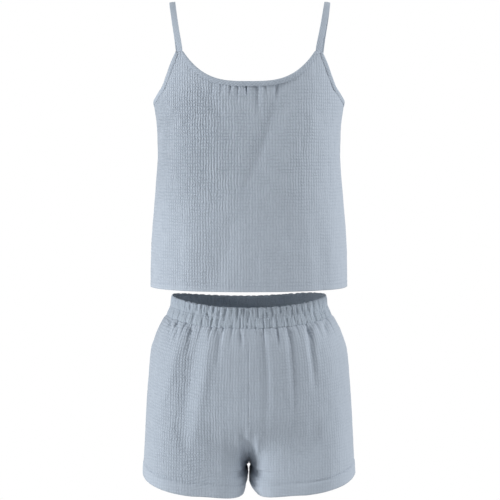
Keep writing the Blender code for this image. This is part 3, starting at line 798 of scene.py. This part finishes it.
strapSettings = {
    "width": 10.5,
    "thickness": 1.9,
    "cloth": 0.45,
    "spacing": 2.0,
    "ring": 22,
    "backAngle": 144.0,
    "backDrop": 9.0,
    "backInset": 4.0,
    "overShoulder": 0.44,  # the share of its length where it turns from the front to the back
    "corners": (0.32, 0.8),  # how square the tube is across, and through its thickness
    "stitchDip": 0.24,
    "stitchPlace": 0.74,
    "stitchWidth": 0.12,
    "ripple": 0.12,
    "sway": 1.6,
    "puckers": 0.6,
    "bars": 0.6,
}
StrapPoint = namedtuple("StrapPoint", "x y z")
strapRoute = [StrapPoint(*row) for row in (
    (120.0, -65.5, -72.0), (124.6, -58.0, -50.0), (129.3, -44.0, -25.0), (132.6, -24.0, -7.5),
    (134.2, 0.0, -0.9), (134.4, 25.0, -8.0), (132.4, 44.0, -30.0), (127.6, 56.0, -65.0),
    (124.0, 61.0, -105.0), (122.5, 62.5, -140.0),
)]


def smoothRoute(points, spacing):
    # Places every so far along a smooth curve through all of the points
    points = np.array(points, float)
    padded = np.vstack([2 * points[0] - points[1], points, 2 * points[-1] - points[-2]])
    dense = []
    for a, b, c, d in zip(padded, padded[1:], padded[2:], padded[3:]):
        for t in np.linspace(0.0, 1.0, 24, endpoint=False):
            place = 2 * b + (c - a) * t + (2 * a - 5 * b + 4 * c - d) * t * t
            dense.append(0.5 * (place + (3 * b - a - 3 * c + d) * t**3))
    dense = np.array(dense + [points[-1]])
    lengths = lengthsAlong(dense)
    at = np.linspace(0.0, lengths[-1], round(lengths[-1] / spacing) + 1)
    return np.stack([np.interp(at, lengths, dense[:, axis]) for axis in range(3)], axis=-1), at


def makeStrap(name, side):
    s = strapSettings
    peakAngle, peakZ = (peakInner + peakOuter) / 2, topSettings["peakZ"] - 3.0
    peak = topPlaces(np.array([peakAngle]), np.array([peakZ]), -1)[0]
    peakOut = topSideways(peak[None], -1)[0]
    frontEnd = peak - peakOut * (clothSettings["thickness"] + s["thickness"] / 2 + 0.1)
    backEndZ = float(backEdgeZ(np.array([s["backAngle"]]))[0]) - s["backDrop"]
    backSkin = ontoTop(np.array([[-strapRoute[-1].x, 62.0, backEndZ]]), 1)
    backOut = topSideways(backSkin, 1)[0]
    backEnd = backSkin[0] - backOut * s["backInset"]
    points = [frontEnd, frontEnd + (0.0, 0.6, 7.0)] + [(-p.x, p.y, p.z) for p in strapRoute]
    points += [backEnd + (0.0, -0.5, 13.0), backEnd]
    centre, lengths = smoothRoute(points, s["spacing"])
    share = lengths / lengths[-1]
    along = unit(np.gradient(centre, axis=0))
    up, flatTop = np.array([0.0, 0.0, 1.0]), np.array([0.99, 0.0, 0.14])
    top = s["overShoulder"]
    flat = np.where(
        share[:, None] < top,
        between(np.cross(up, peakOut), flatTop, ease(share / top)[:, None]),
        between(flatTop, np.cross(backOut, up), ease((share - top) / 0.5)[:, None]),
    )
    flat = unit(flat - along * (flat * along).sum(axis=-1, keepdims=True))
    thick = np.cross(along, flat)
    rows, directions = [], []
    for k in range(s["ring"] + 1):
        turn = 2.0 * math.pi * (k / s["ring"]) + math.pi / 2
        acrossShare = power(math.cos(turn), s["corners"][0])
        outShare = power(math.sin(turn), s["corners"][1])
        dip = s["stitchDip"] * bell(abs(acrossShare) - s["stitchPlace"], s["stitchWidth"])
        bulge = (s["thickness"] / 2 - dip) * outShare
        ripple = s["ripple"] * noiseField(lengths / 7.0, lengths * 0.0 + 4.0 * math.cos(turn), 51.0 + side)
        outBy = (bulge + ripple * outShare)[:, None]
        rows.append(centre + flat * (s["width"] / 2 * acrossShare) + thick * outBy)
        directions.append(flat * math.cos(turn) + thick * math.sin(turn))
    places, outward = np.stack(rows, axis=1), np.stack(directions, axis=1)
    if side > 0:
        places = places * (-1.0, 1.0, 1.0)
        outward = outward * (-1.0, 1.0, 1.0)
    places[..., 0] += s["sway"] * np.sin(math.pi * share)[:, None]
    cloth = evenCloth(places, outward, lengths, s["puckers"], s["bars"])
    piece = layCloth(name, cloth, topBiasCloth, s["cloth"])


makeStrap("strap_right", -1)
makeStrap("strap_left", 1)
print("straps made")


# The shorts: four panels gathered into the waist casing

shortsSettings = {
    "roundness": 2.25,
    "topZ": -544.3,
    "hemZ": {-1: -821.0, 1: -818.5},
    "centreTopDrop": {-1: 12.9, 1: 8.9},
    "crotchZ": -803.5,
    "crotchDrop": 0.87,
    "crotchY": 10.0,
    "crotchCurveFrom": 0.60,
    "crotchReach": 12,
    "inseamHemZ": {-1: -851.5, 1: -849.5},
    "legCentre": 95.0,
    "hemCornerLift": {-1: 2.5, 1: 8.0},
    "legRoundness": {"outer": 2.3, "inner": 3.6},
    "legSplitFrom": 0.52,
    "legFlatter": 4.0,
    "hipDrop": 0.45,
    "hemDropFullAt": 145.0,
    "hemDropCurve": 1.2,
    "hemStitch": 21.0,
    "hemStep": 0.9,
    "hemGroove": 1.8,
    "hemGrooveWidth": 1.6,
    "centreSeamRoll": 0.3,
    "columns": 158,
    "flare": 4.0,
    "flareReach": 8.0,
    "footPinch": 1.1,
    "footPinchReach": 1.6,
}
# Half of the gap between the legs, from the crotch down to the hem, on each side
legGaps = {
    "below": [0.0, 0.04, 0.115, 0.24, 0.34, 0.45, 0.57, 0.72, 0.84, 1.0],
    -1: [0.12, 4.4, 6.2, 5.6, 1.8, 1.4, 2.2, 5.4, 6.2, 8.0],
    1: [0.12, 4.4, 6.0, 5.4, 1.4, 0.3, 0.2, 0.4, 3.6, 10.0],
}
# The hollow between the thighs, where the cloth is drawn in towards the crotch
crotchHollow = {
    "z": [-815, -806, -795, -782, -769, -756, -742, -716],
    "halfWidth": [8.0, 11.5, 14.5, 15.8, 16.6, 17.4, 18.6, 22.0],
    "depth": [14.0, 18.0, 23.0, 22.0, 18.5, 13.0, 6.5, 0.0],
    "middle": -1.4,
    "softness": 1.6,
    "atBack": 0.35,
}
shortsPuckers = {
    -1: {
        "across": [-190, -110, -65, -25, 60, 190],
        "puckers": [0.84, 0.92, 0.7, 0.34, 0.42, 0.3],
        "bars": [0.6, 0.9, 0.7, 0.55, 0.6, 0.55],
    },
    1: {"across": [-190, -40, 40, 190], "puckers": [0.9, 0.7, 0.6, 0.9], "bars": [0.8, 0.5, 0.3, 0.6]},
}
shortsCut = {
    "z": [-821, -785, -752, -720, -678, -635, -603, -588, -571, -558, -550, -544.3],
    "halfWidth": [186.5, 184.5, 182.5, 181, 178.4, 175.2, 171.6, 167, 160.6, 154, 148.5, 140.2],
    "front": [108, 110, 113, 115.5, 117, 117.5, 117, 116.5, 114.5, 111.5, 108, 102.6],
    "back": [115, 118, 122, 124.5, 125.5, 124, 120.5, 119, 114, 109, 104.5, 97.6],
}
# The deep gathers of the waist casing, as places across and depths: the upper row between the top
# edge and the middle stitching, and the lower row, whose gathers run on into the shorts
waistGathers = {
    -1: {
        "upper": layGathers([
            (-134, 2.0), (-129, 2.8), (-121, 2.6), (-111, 3.2), (-101, 2.8), (-89.6, 3.4), (-81, 2.6),
            (-69, 3.2), (-60, 2.2), (-50.7, 3.2), (-38.9, 2.6), (-29, 1.6), (-19.4, 2.4), (-8, 1.6),
            (0.5, 2.6), (15.2, 2.4), (30.4, 2.4), (38.9, 3.0), (54, 3.2), (64, 1.8), (72.7, 3.4),
            (82, 1.8), (90.4, 3.0), (101.4, 3.2), (112, 2.2), (121, 2.8), (129, 2.0), (135, 1.8),
        ]),
        "lower": layGathers([
            (-134, 2.2), (-127, 3.0), (-118, 4.2), (-104, 3.0), (-93, 3.4), (-77.7, 2.6), (-61.7, 3.0),
            (-52.4, 1.8), (-42.3, 2.6), (-27.9, 2.4), (-15, 1.6), (-2.5, 3.0), (11, 1.6), (23.7, 2.8),
            (34, 1.6), (45.6, 3.0), (62.5, 2.8), (77, 1.8), (94.6, 3.4), (109.9, 2.8), (121, 2.0),
            (130, 3.2), (136, 1.8),
        ]),
    },
    1: {
        "upper": layGathers([
            (-133, 1.8), (-125, 2.6), (-114, 2.2), (-103, 3.0), (-92, 2.0), (-79, 2.8), (-69, 2.4),
            (-55, 3.0), (-43, 1.8), (-33, 2.8), (-20, 2.4), (-9, 3.0), (4, 1.8), (14, 2.8), (27, 2.2),
            (37, 3.0), (50, 2.0), (60, 2.8), (71, 2.4), (84, 3.2), (94, 2.0), (106, 2.8), (117, 2.2),
            (127, 2.8), (134, 1.8),
        ]),
        "lower": layGathers([
            (-134, 2.0), (-126, 2.6), (-113, 3.2), (-100, 2.2), (-87, 3.0), (-74, 2.2), (-60, 1.8),
            (-47, 3.2), (-34, 2.0), (-21, 2.8), (-7, 2.2), (5, 2.0), (15, 3.0), (28, 2.0), (39, 3.2),
            (52, 2.2), (66, 2.6), (84, 3.0), (96, 2.2), (109, 3.4), (120, 2.2), (131, 2.8),
        ]),
    },
}
shortsHalfWidth = curveThrough(shortsCut["z"], shortsCut["halfWidth"])
shortsDepth = {
    -1: curveThrough(shortsCut["z"], shortsCut["front"]),
    1: curveThrough(shortsCut["z"], shortsCut["back"]),
}
shortsFolds = {
    -1: [
        Fold(-134, -137, -141, -550, -590, 2.4, 4.0, 1),
        Fold(-122, -124, -127, -550, -586, 3.4, 4.4, 1),
        Fold(-98, -103, -110, -550, -610, 3.4, 6.0, 1),
        Fold(-72, -104, -116, -500, -790, 6.2, 15.0, 0),
        Fold(-62, -76, -98, -530, -770, -2.4, 10.0, 0),
        Fold(-112, -134, -160, -540, -740, -2.4, 10.0, 0),
        Fold(-50, -51, -54, -552, -628, 2.6, 6.0, 1),
        Fold(-15, -14, -12, -556, -592, 3.2, 4.0, 1),
        Fold(20, 30, 24, -556, -760, 3.4, 8.4, 1),
        Fold(48, 49, 51, -556, -594, 2.6, 4.0, 1),
        Fold(67, 76, 74, -554, -770, 3.8, 8.0, 1),
        Fold(100, 108, 112, -550, -670, 4.8, 6.4, 1),
        Fold(129, 133, 138, -548, -582, 2.8, 4.4, 1),
        Fold(134, 150, 158, -600, -800, -1.6, 16.0, 0),
        Fold(-60, -64, -70, -700, -850, 1.8, 14.0, 0),
        Fold(110, 112, 118, -690, -845, 1.8, 14.0, 0),
    ],
    1: [
        Fold(-132, -135, -139, -550, -592, 2.6, 4.4, 1),
        Fold(-112, -117, -128, -550, -664, 4.0, 7.0, 1),
        Fold(-86, -92, -96, -552, -606, 3.0, 4.5, 1),
        Fold(-66, -74, -92, -552, -700, -2.4, 9.0, 0),
        Fold(-46, -50, -56, -554, -668, 3.8, 7.0, 1),
        Fold(-20, -22, -24, -554, -600, 2.8, 4.4, 1),
        Fold(14, 14, 16, -554, -606, 3.0, 4.4, 1),
        Fold(38, 44, 56, -554, -690, 4.0, 7.5, 1),
        Fold(62, 70, 78, -552, -660, -2.2, 8.0, 0),
        Fold(84, 88, 92, -552, -604, 3.0, 4.6, 1),
        Fold(108, 118, 134, -550, -688, 4.2, 8.0, 1),
        Fold(131, 134, 138, -550, -588, 2.6, 4.2, 1),
        Fold(-70, -72, -78, -690, -830, 1.8, 15.0, 0),
        Fold(74, 78, 82, -680, -830, 1.8, 15.0, 0),
    ],
}


def legSplit(turn, drop):
    # 0 where the shorts are one round body, 1 where each leg is a tube of its own
    s = shortsSettings
    outer = ease((drop - s["legSplitFrom"]) / (1.0 - s["legSplitFrom"]))
    q = np.clip((drop - s["crotchCurveFrom"]) / (s["crotchDrop"] - s["crotchCurveFrom"]), 0.0, 1.0)
    return between(outer, 1.0 - np.sqrt(1.0 - q * q), turn ** s["crotchReach"])


def shortsPlaces(turn, drop, side, face):
    # turn runs from 0 at the side seam to 1 at the centre seam and, below it, the inseam
    s = shortsSettings
    seam = clothSettings["seamHalfGap"]
    sideZ = between(s["topZ"], s["hemZ"][side], drop)
    halfWidth, depth = shortsHalfWidth(sideZ), shortsDepth[face](sideZ)
    angle = math.pi * turn
    exponent = 2.0 / s["roundness"]
    bodyX = halfWidth * np.maximum(np.cos(angle / 2), 0.0) ** exponent
    bodyY = depth * np.sin(angle / 2) ** exponent
    belowCrotch = np.maximum(drop - s["crotchDrop"], 0.0) / (1.0 - s["crotchDrop"])
    legGap = curveThrough(legGaps["below"], legGaps[side])(belowCrotch)
    outer = np.cos(angle) > 0.0
    reach = np.where(outer, halfWidth - s["legCentre"], s["legCentre"] - legGap)
    exponent = 2.0 / np.where(outer, s["legRoundness"]["outer"], s["legRoundness"]["inner"])
    legX = s["legCentre"] + reach * power(np.cos(angle), exponent)
    legY = (depth - s["legFlatter"]) * np.abs(np.sin(angle)) ** exponent
    split = legSplit(turn, drop)
    x = np.maximum(between(bodyX, legX, split), seam)
    y = face * np.maximum(between(bodyY, legY, split), seam)
    y = y + s["crotchY"] * split * turn ** s["crotchReach"]
    centreTop = s["topZ"] - s["centreTopDrop"][face]
    centreZ = np.where(
        drop <= s["crotchDrop"],
        between(centreTop, s["crotchZ"], drop / s["crotchDrop"]),
        between(s["crotchZ"], s["inseamHemZ"][side], belowCrotch),
    )
    dip = np.sin(math.pi / 2 * np.minimum(180.0 * turn / s["hemDropFullAt"], 1.0)) ** s["hemDropCurve"]
    dip = between(np.sin(angle / 2) ** 2, dip, ease(drop / 0.2))  # the top follows the casing's foot
    corner = s["hemCornerLift"][side] * turn**10 * belowCrotch**1.5
    return np.stack([side * x, y, between(sideZ, centreZ, dip) + corner], axis=-1)


def shortsAcross(smooth, drop):
    # Cloth width from the line down the middle of the leg, drawn together near the waist
    lengths = lengthsAlong(smooth)
    across = np.empty_like(lengths)
    for row in range(lengths.shape[1]):
        x = np.abs(smooth[:, row, 0])
        across[:, row] = lengths[:, row] - np.interp(-shortsSettings["legCentre"], -x, lengths[:, row])
    hip = int(np.argmin(np.abs(drop[0] - shortsSettings["hipDrop"])))
    drawn = np.maximum(lengths[-1, hip] / lengths[-1, :hip], 1.0)
    across[:, :hip] = (lengths[:, :hip] - lengths[-1, :hip]) * drawn + across[-1, hip]
    return across


def shortsRelief(places, lengths, across, down, turn, drop, side, face):
    # How far the cloth stands off its smooth form: folds, gathers, flare, crinkle, hem and seams
    s = shortsSettings
    x, z = places[..., 0], places[..., 2]
    fromSide, fromCentre = lengths, lengths[-1:] - lengths
    fromTop, aboveHem = down, down[:, -1:] - down
    seamFade = ease(fromSide / 12.0) * ease(fromCentre / 7.0)
    innerThigh = np.where(drop > 0.6, ease((0.97 - turn) / 0.2), 1.0)
    folds = foldRelief(shortsFolds[face], x, z) * innerThigh * ease(fromTop / 13.0)
    atWaist = [
        Gather(-abs(g.place), 0.0, g.depth, g.width, g.reach)
        for g in waistGathers[face]["lower"] if g.place * side > 0.0
    ]
    atWaist = gathersAlong(atWaist, -np.abs(x[:, 0]), lengths[:, 0])
    seed = 100 + 10 * side + face
    waistEnd = float(lengths[-1, 0]) - 3.0
    small = drawGathers(seed, 3.0, waistEnd, 5.2, (0.4, 0.9), (1.2, 1.9), (10.0, 34.0), 0.0)
    followsCloth = lengths[:, :1] + 0.0 * lengths
    folds = folds + gatherRelief(atWaist + small, followsCloth, fromTop)
    relief = -np.minimum(folds, 1.5 + 0.5 * fromTop) * seamFade
    flare = s["flare"] * np.exp(-fromTop / s["flareReach"])
    relief += flare - s["footPinch"] * bell(fromTop, s["footPinchReach"])
    relief += crinkle(across * side, down, 9.0 + 2 * side + face)
    relief += s["hemStep"] * ease((s["hemStitch"] - aboveHem + 1.4) / 2.0)
    relief -= s["hemGroove"] * bell(aboveHem - s["hemStitch"], s["hemGrooveWidth"])
    for distance, share in ((fromSide, 1.0), (fromCentre, s["centreSeamRoll"])):
        relief -= share * clothSettings["seamRoll"] * bell(distance, clothSettings["seamRollWidth"])
    return relief


def hollowDepth(places, face):
    # How far the cloth between the thighs is drawn in, towards the inside of the shorts
    hollow = crotchHollow
    halfWidth = curveThrough(hollow["z"], hollow["halfWidth"])(places[..., 2])
    depth = curveThrough(hollow["z"], hollow["depth"])(places[..., 2])
    inside = np.clip(np.abs(places[..., 0] - hollow["middle"]) / halfWidth, 0.0, 1.0)
    awayFromInseam = ease((np.abs(places[..., 1]) - 18.0) / 30.0)
    share = 1.0 if face < 0 else hollow["atBack"]
    return depth * (1.0 - inside**2) ** hollow["softness"] * awayFromInseam * share


def makeShortsPanel(name, side, face):
    s = shortsSettings
    length = s["topZ"] - s["hemZ"][side]
    hem = length - s["hemStitch"]
    crotch = length * s["crotchDrop"]
    levels = spacedRuns(
        [0.0, 14.0, crotch - 36.0, crotch - 8.0, crotch, crotch + 8.0, hem - 2.0, hem + 3.0, length],
        [1.0, 2.1, 1.3, 1.0, 0.8, 1.4, 0.9, 2.0],
    )
    turns = 1.0 - (1.0 - np.linspace(0.0, 1.0, s["columns"])) ** 1.2
    turn, drop = np.meshgrid(turns, levels / length, indexing="ij")
    smooth = shortsPlaces(turn, drop, side, face)
    normals = outwardNormals(smooth, face)
    lengths, down = lengthsAlong(smooth), lengthsAlong(smooth, 1)
    aboveCrotch = int(np.sum(levels <= crotch))
    normals[:, :aboveCrotch, 0] *= ease((lengths[-1:] - lengths) / 8.0)[:, :aboveCrotch]
    normals = unit(normals)
    across = shortsAcross(smooth, drop)
    relief = shortsRelief(smooth, lengths, across, down, turn, drop, side, face)
    places = smooth + normals * relief[..., None]
    places[..., 0] = side * np.maximum(side * places[..., 0], 0.05)
    places[..., 1] -= face * hollowDepth(smooth, face)
    puckers, bars = puckersAt(shortsPuckers[face], smooth[..., 0])
    puckers = puckers * (1.0 - 0.5 * ease((s["hemStitch"] - down[:, -1:] + down) / 2.0))
    cloth = Cloth(places, normals, -across * side, down, puckers, bars)
    row = int(np.argmin(np.abs(levels - hem)))
    stitches = sewStitches(name + "_hem_thread", places[:, row], normals[:, row])
    cloth = turnUnder(cloth, -1, 0.0 if side > 0 else 1.5, aboveCrotch, (-side, 0.0, 0.0))
    if face < 0:
        cloth = turnUnder(cloth, 0)
    cloth = swapped(turnUnder(swapped(cloth), 0, -1.3))
    piece = layCloth(name, cloth, shortsCloth, clothSettings["thickness"])


for panelName, panelSide, panelFace in (
    ("shorts_front_right", -1, -1),
    ("shorts_front_left", 1, -1),
    ("shorts_back_right", -1, 1),
    ("shorts_back_left", 1, 1),
):
    makeShortsPanel(panelName, panelSide, panelFace)
print("shorts panels made")


# The waist casing: cloth folded over wide elastic and sewn down through its middle and its foot

waistSettings = {
    "topZ": -509.3,
    "height": 34.7,
    "wall": 3.2,
    "cloth": 0.9,
    "dip": {-1: 13.0, 1: 10.6},
    "backRise": 2.2,
    "halfWidth": [135.2, 140.0],
    "depth": {-1: [99.0, 102.5], 1: [93.0, 97.5]},
    "puff": 0.6,
    "smallPitch": 5.4,
    "spacing": 1.0,
    "middleStitch": 0.5,
    "middleStitchDepth": 0.3,
    "footStitch": 0.955,
    "footStitchDepth": 0.7,
    "deepest": 1.6,
    "small": 0.35,
    "notch": 0.38,
    "carryOver": 0.6,  # how strongly each row's gathers run on past the middle stitching, and how far
    "carryReach": 0.26,
    "innerRipple": 0.7,
    "drawnUp": 1.4,  # cloth to each length of casing
    "puckers": 0.7,
    "bars": 0.4,
    "outerRows": (1.012, 0.035, 34),  # shares of the height, from the foot up, and their number
    "rim": [(0.012, -0.4), (-0.012, -1.2), (-0.012, -2.1), (0.015, -2.8)],  # shares, and how far in
    "innerRows": (0.06, 1.0, 12),
}


def waistPlaces(angle, share, face):
    # Places round the casing, a share of its height down from its top edge, and their directions out
    w = waistSettings
    roundness = shortsSettings["roundness"]
    halfWidth, depth = between(*w["halfWidth"], share), between(*w["depth"][face], share)
    x, y = roundSection(angle, halfWidth, depth, roundness, face)
    z = w["topZ"] - w["dip"][face] * np.sin(np.radians(angle)) ** 2 - w["height"] * share
    if face > 0:
        z = z + w["backRise"] * ease(x / 90.0) * ease((140.0 - x) / 40.0) * (1.0 - share)
    return np.stack([x, y, z], axis=-1), outOfSection(x, y, halfWidth, depth, roundness)


def casingFace(share, at, angles, face, gathers, seamFade):
    # One line round the casing's outer face, drawn in at its gathers and along its stitching
    w = waistSettings
    place, outward = waistPlaces(angles, np.full_like(angles, share), face)
    inUpper = share < w["middleStitch"]
    top, foot = (0.0, w["middleStitch"]) if inUpper else (w["middleStitch"], 1.02)
    within = float(np.clip((share - top) / (foot - top), 0.0, 1.0))
    creases = np.zeros_like(at)
    otherRow = w["carryOver"] * max(0.0, 1.0 - abs(share - w["middleStitch"]) / w["carryReach"])
    for row, weight in (("upper", 1.0 if inUpper else otherRow), ("lower", otherRow if inUpper else 1.0)):
        for gather in gathers[row]:
            offset = (at - gather.place - gather.lean * 0.3 * (within - 0.5)) / gather.width
            creases += weight * gather.depth * pinch(offset, 0.45, 0.8)
    uneven = noiseField(at / 7.0, np.full_like(at, share * 3.4), 75.0 + face)
    creases *= np.clip(0.9 + 1.6 * uneven, 0.15, 1.7)
    if inUpper:
        strength = 0.5 + 0.5 * math.sin(math.pi * between(0.15, 0.95, within))
        puff = w["puff"] * math.sin(math.pi * between(0.12, 1.0, within)) ** 0.7
    else:
        strength = 0.5 + 0.5 * ease(within / 0.5)
        puff = w["puff"] * math.sin(math.pi * min(within, 0.5)) ** 0.7
    small = w["small"] * noiseField(at / 3.2, np.full_like(at, share * 7.0), 71.0 + face)
    stitch = w["middleStitchDepth"] * bell(share - w["middleStitch"], 0.03)
    stitch += w["footStitchDepth"] * bell(1.0 - share, 0.04)
    relief = (puff - creases * strength + small) * seamFade - stitch
    relief = np.maximum(relief, -w["deepest"]) + shortsSettings["flare"] * ease((share - 0.45) / 0.57)
    return place + outward * relief[:, None], outward


def makeWaistband(name, face):
    w = waistSettings
    dense = np.linspace(0.0, 180.0, 400)
    middleLine = waistPlaces(dense, np.full_like(dense, 0.5), face)[0]
    lengths = lengthsAlong(middleLine)
    at = np.linspace(0.0, lengths[-1], round(lengths[-1] / w["spacing"]) + 1)
    angles = np.interp(at, lengths, dense)
    seamFade = ease(np.minimum(at, at[-1] - at) / 7.0)
    gathers = {}
    end = at[-1] - 3.0
    for row, seed in (("upper", 41), ("lower", 61)):
        placed = gathersAlong(waistGathers[face][row], middleLine[:, 0], lengths)
        small = drawGathers(seed + face, 3.0, end, w["smallPitch"], (0.5, 1.2), (1.0, 1.5), (9.0, 9.0), 1.5)
        gathers[row] = placed + small
    outerShares = np.linspace(*w["outerRows"])
    rows = [casingFace(share, at, angles, face, gathers, seamFade) for share in outerShares]
    topLine = waistPlaces(angles, np.full_like(angles, 0.0), face)[0]
    notches = np.zeros_like(at)
    for gather in gathers["upper"]:
        notches += w["notch"] * gather.depth * bell(at - gather.place, gather.width * 1.3)
    edgeLift = (0.8 * noiseField(at / 6.0, np.zeros_like(at), 83.0 + face) - notches + 0.4) * seamFade
    for share, inset in w["rim"]:
        place, outward = waistPlaces(angles, np.full_like(angles, share), face)
        place = place + outward * inset
        place[:, 2] = np.minimum(place[:, 2] + edgeLift, topLine[:, 2] + 0.9)
        rows.append((place, outward * (1.0 if inset > -1.5 else -1.0)))
    for share in np.linspace(*w["innerRows"]):
        place, outward = waistPlaces(angles, np.full_like(angles, share), face)
        ripple = w["innerRipple"] * noiseField(at / 3.6, np.full_like(at, share * 3.0), 91.0 + face)
        place = place + outward * (-w["wall"] + ripple * seamFade)[:, None]
        place[:, 1] = face * np.maximum(np.abs(place[:, 1]), clothSettings["seamHalfGap"])
        rows.append((place, -outward))
    places, outward = (np.stack(parts, axis=1) for parts in zip(*rows))
    cloth = evenCloth(places, outward, at * w["drawnUp"], w["puckers"], w["bars"])
    piece = layCloth(name, cloth, waistCloth, w["cloth"])
    for label, share in (("_middle_thread", w["middleStitch"]), ("_foot_thread", w["footStitch"])):
        row = int(np.argmin(np.abs(outerShares - share)))
        line, lineOut = places[:, row], outward[:, row]
        sewStitches(name + label, line, lineOut, 3.0, 2.2, 0.2)


makeWaistband("waistband_front", -1)
makeWaistband("waistband_back", 1)
print("waistbands made")


# Studio: plain pale floor below, soft light from both sides, above and behind, and the camera as in
# the photograph

studioSettings = {
    "floorZ": -1.06,
    "floorSize": 1.1,
    "cameraDistance": 3.0,
    "cameraElevation": 4.0,
    "cameraTarget": (0.00175, 0.0, -0.4307),
    "frameWidth": 0.875,
    "sensorWidth": 36.0,
    "skyStrength": 0.39,
}
SoftLight = namedtuple("SoftLight", "name place size watts")
softLights = [
    SoftLight("left softbox", (-2.4, -0.85, -0.35), 0.7, 55.0),
    SoftLight("right softbox", (2.7, -0.4, 0.5), 2.0, 70.0),
    SoftLight("high softbox", (-0.4, -1.2, 2.4), 1.4, 17.0),
    SoftLight("back softbox", (0.0, 2.4, 0.8), 1.8, 30.0),
]


def makeFloor():
    bm = bmesh.new()
    bmesh.ops.create_grid(bm, x_segments=1, y_segments=1, size=studioSettings["floorSize"] / 2)
    mesh = bpy.data.meshes.new("floor")
    bm.to_mesh(mesh)
    bm.free()
    # Smooth pale paint, matt
    material = bpy.data.materials.new("pale painted floor")
    material.use_nodes = True
    shader = material.node_tree.nodes["Principled BSDF"]
    shader.inputs["Base Color"].default_value = linearColour("#eeeeee")
    shader.inputs["Roughness"].default_value = 0.7
    mesh.materials.append(material)
    floor = bpy.data.objects.new("floor", mesh)
    floor.location.z = studioSettings["floorZ"]
    bpy.context.scene.collection.objects.link(floor)


def makeLights():
    target = Vector(studioSettings["cameraTarget"])
    for light in softLights:
        data = bpy.data.lights.new(light.name, "AREA")
        data.size = light.size
        data.energy = light.watts
        lamp = bpy.data.objects.new(light.name, data)
        lamp.location = light.place
        lamp.rotation_euler = (lamp.location - target).to_track_quat("Z", "Y").to_euler()
        bpy.context.scene.collection.objects.link(lamp)
    world = bpy.data.worlds.new("white studio")
    world.use_nodes = True
    tree = world.node_tree
    tree.nodes.clear()
    output = addNode(tree, "ShaderNodeOutputWorld")
    ray = addNode(tree, "ShaderNodeLightPath")
    soft = addNode(tree, "ShaderNodeBackground", None, {"Strength": studioSettings["skyStrength"]})
    seen = addNode(tree, "ShaderNodeBackground", None, {"Strength": 1.0})
    for background in (soft, seen):
        background.inputs["Color"].default_value = (1.0, 1.0, 1.0, 1.0)
    mix = addNode(
        tree, "ShaderNodeMixShader", None,
        {0: ray.outputs["Is Camera Ray"], 1: soft.outputs[0], 2: seen.outputs[0]},
    )
    tree.links.new(mix.outputs[0], output.inputs["Surface"])
    bpy.context.scene.world = world
    bpy.context.scene.view_settings.view_transform = "Standard"


def makeCamera():
    s = studioSettings
    data = bpy.data.cameras.new("camera")
    data.sensor_width = s["sensorWidth"]
    data.lens = s["sensorWidth"] * s["cameraDistance"] / s["frameWidth"]
    camera = bpy.data.objects.new("camera", data)
    elevation = math.radians(s["cameraElevation"])
    away = Vector((0.0, -math.cos(elevation), math.sin(elevation)))
    camera.location = Vector(s["cameraTarget"]) + away * s["cameraDistance"]
    camera.rotation_euler = away.to_track_quat("Z", "Y").to_euler()
    bpy.context.scene.collection.objects.link(camera)
    bpy.context.scene.camera = camera


makeFloor()
makeLights()
makeCamera()
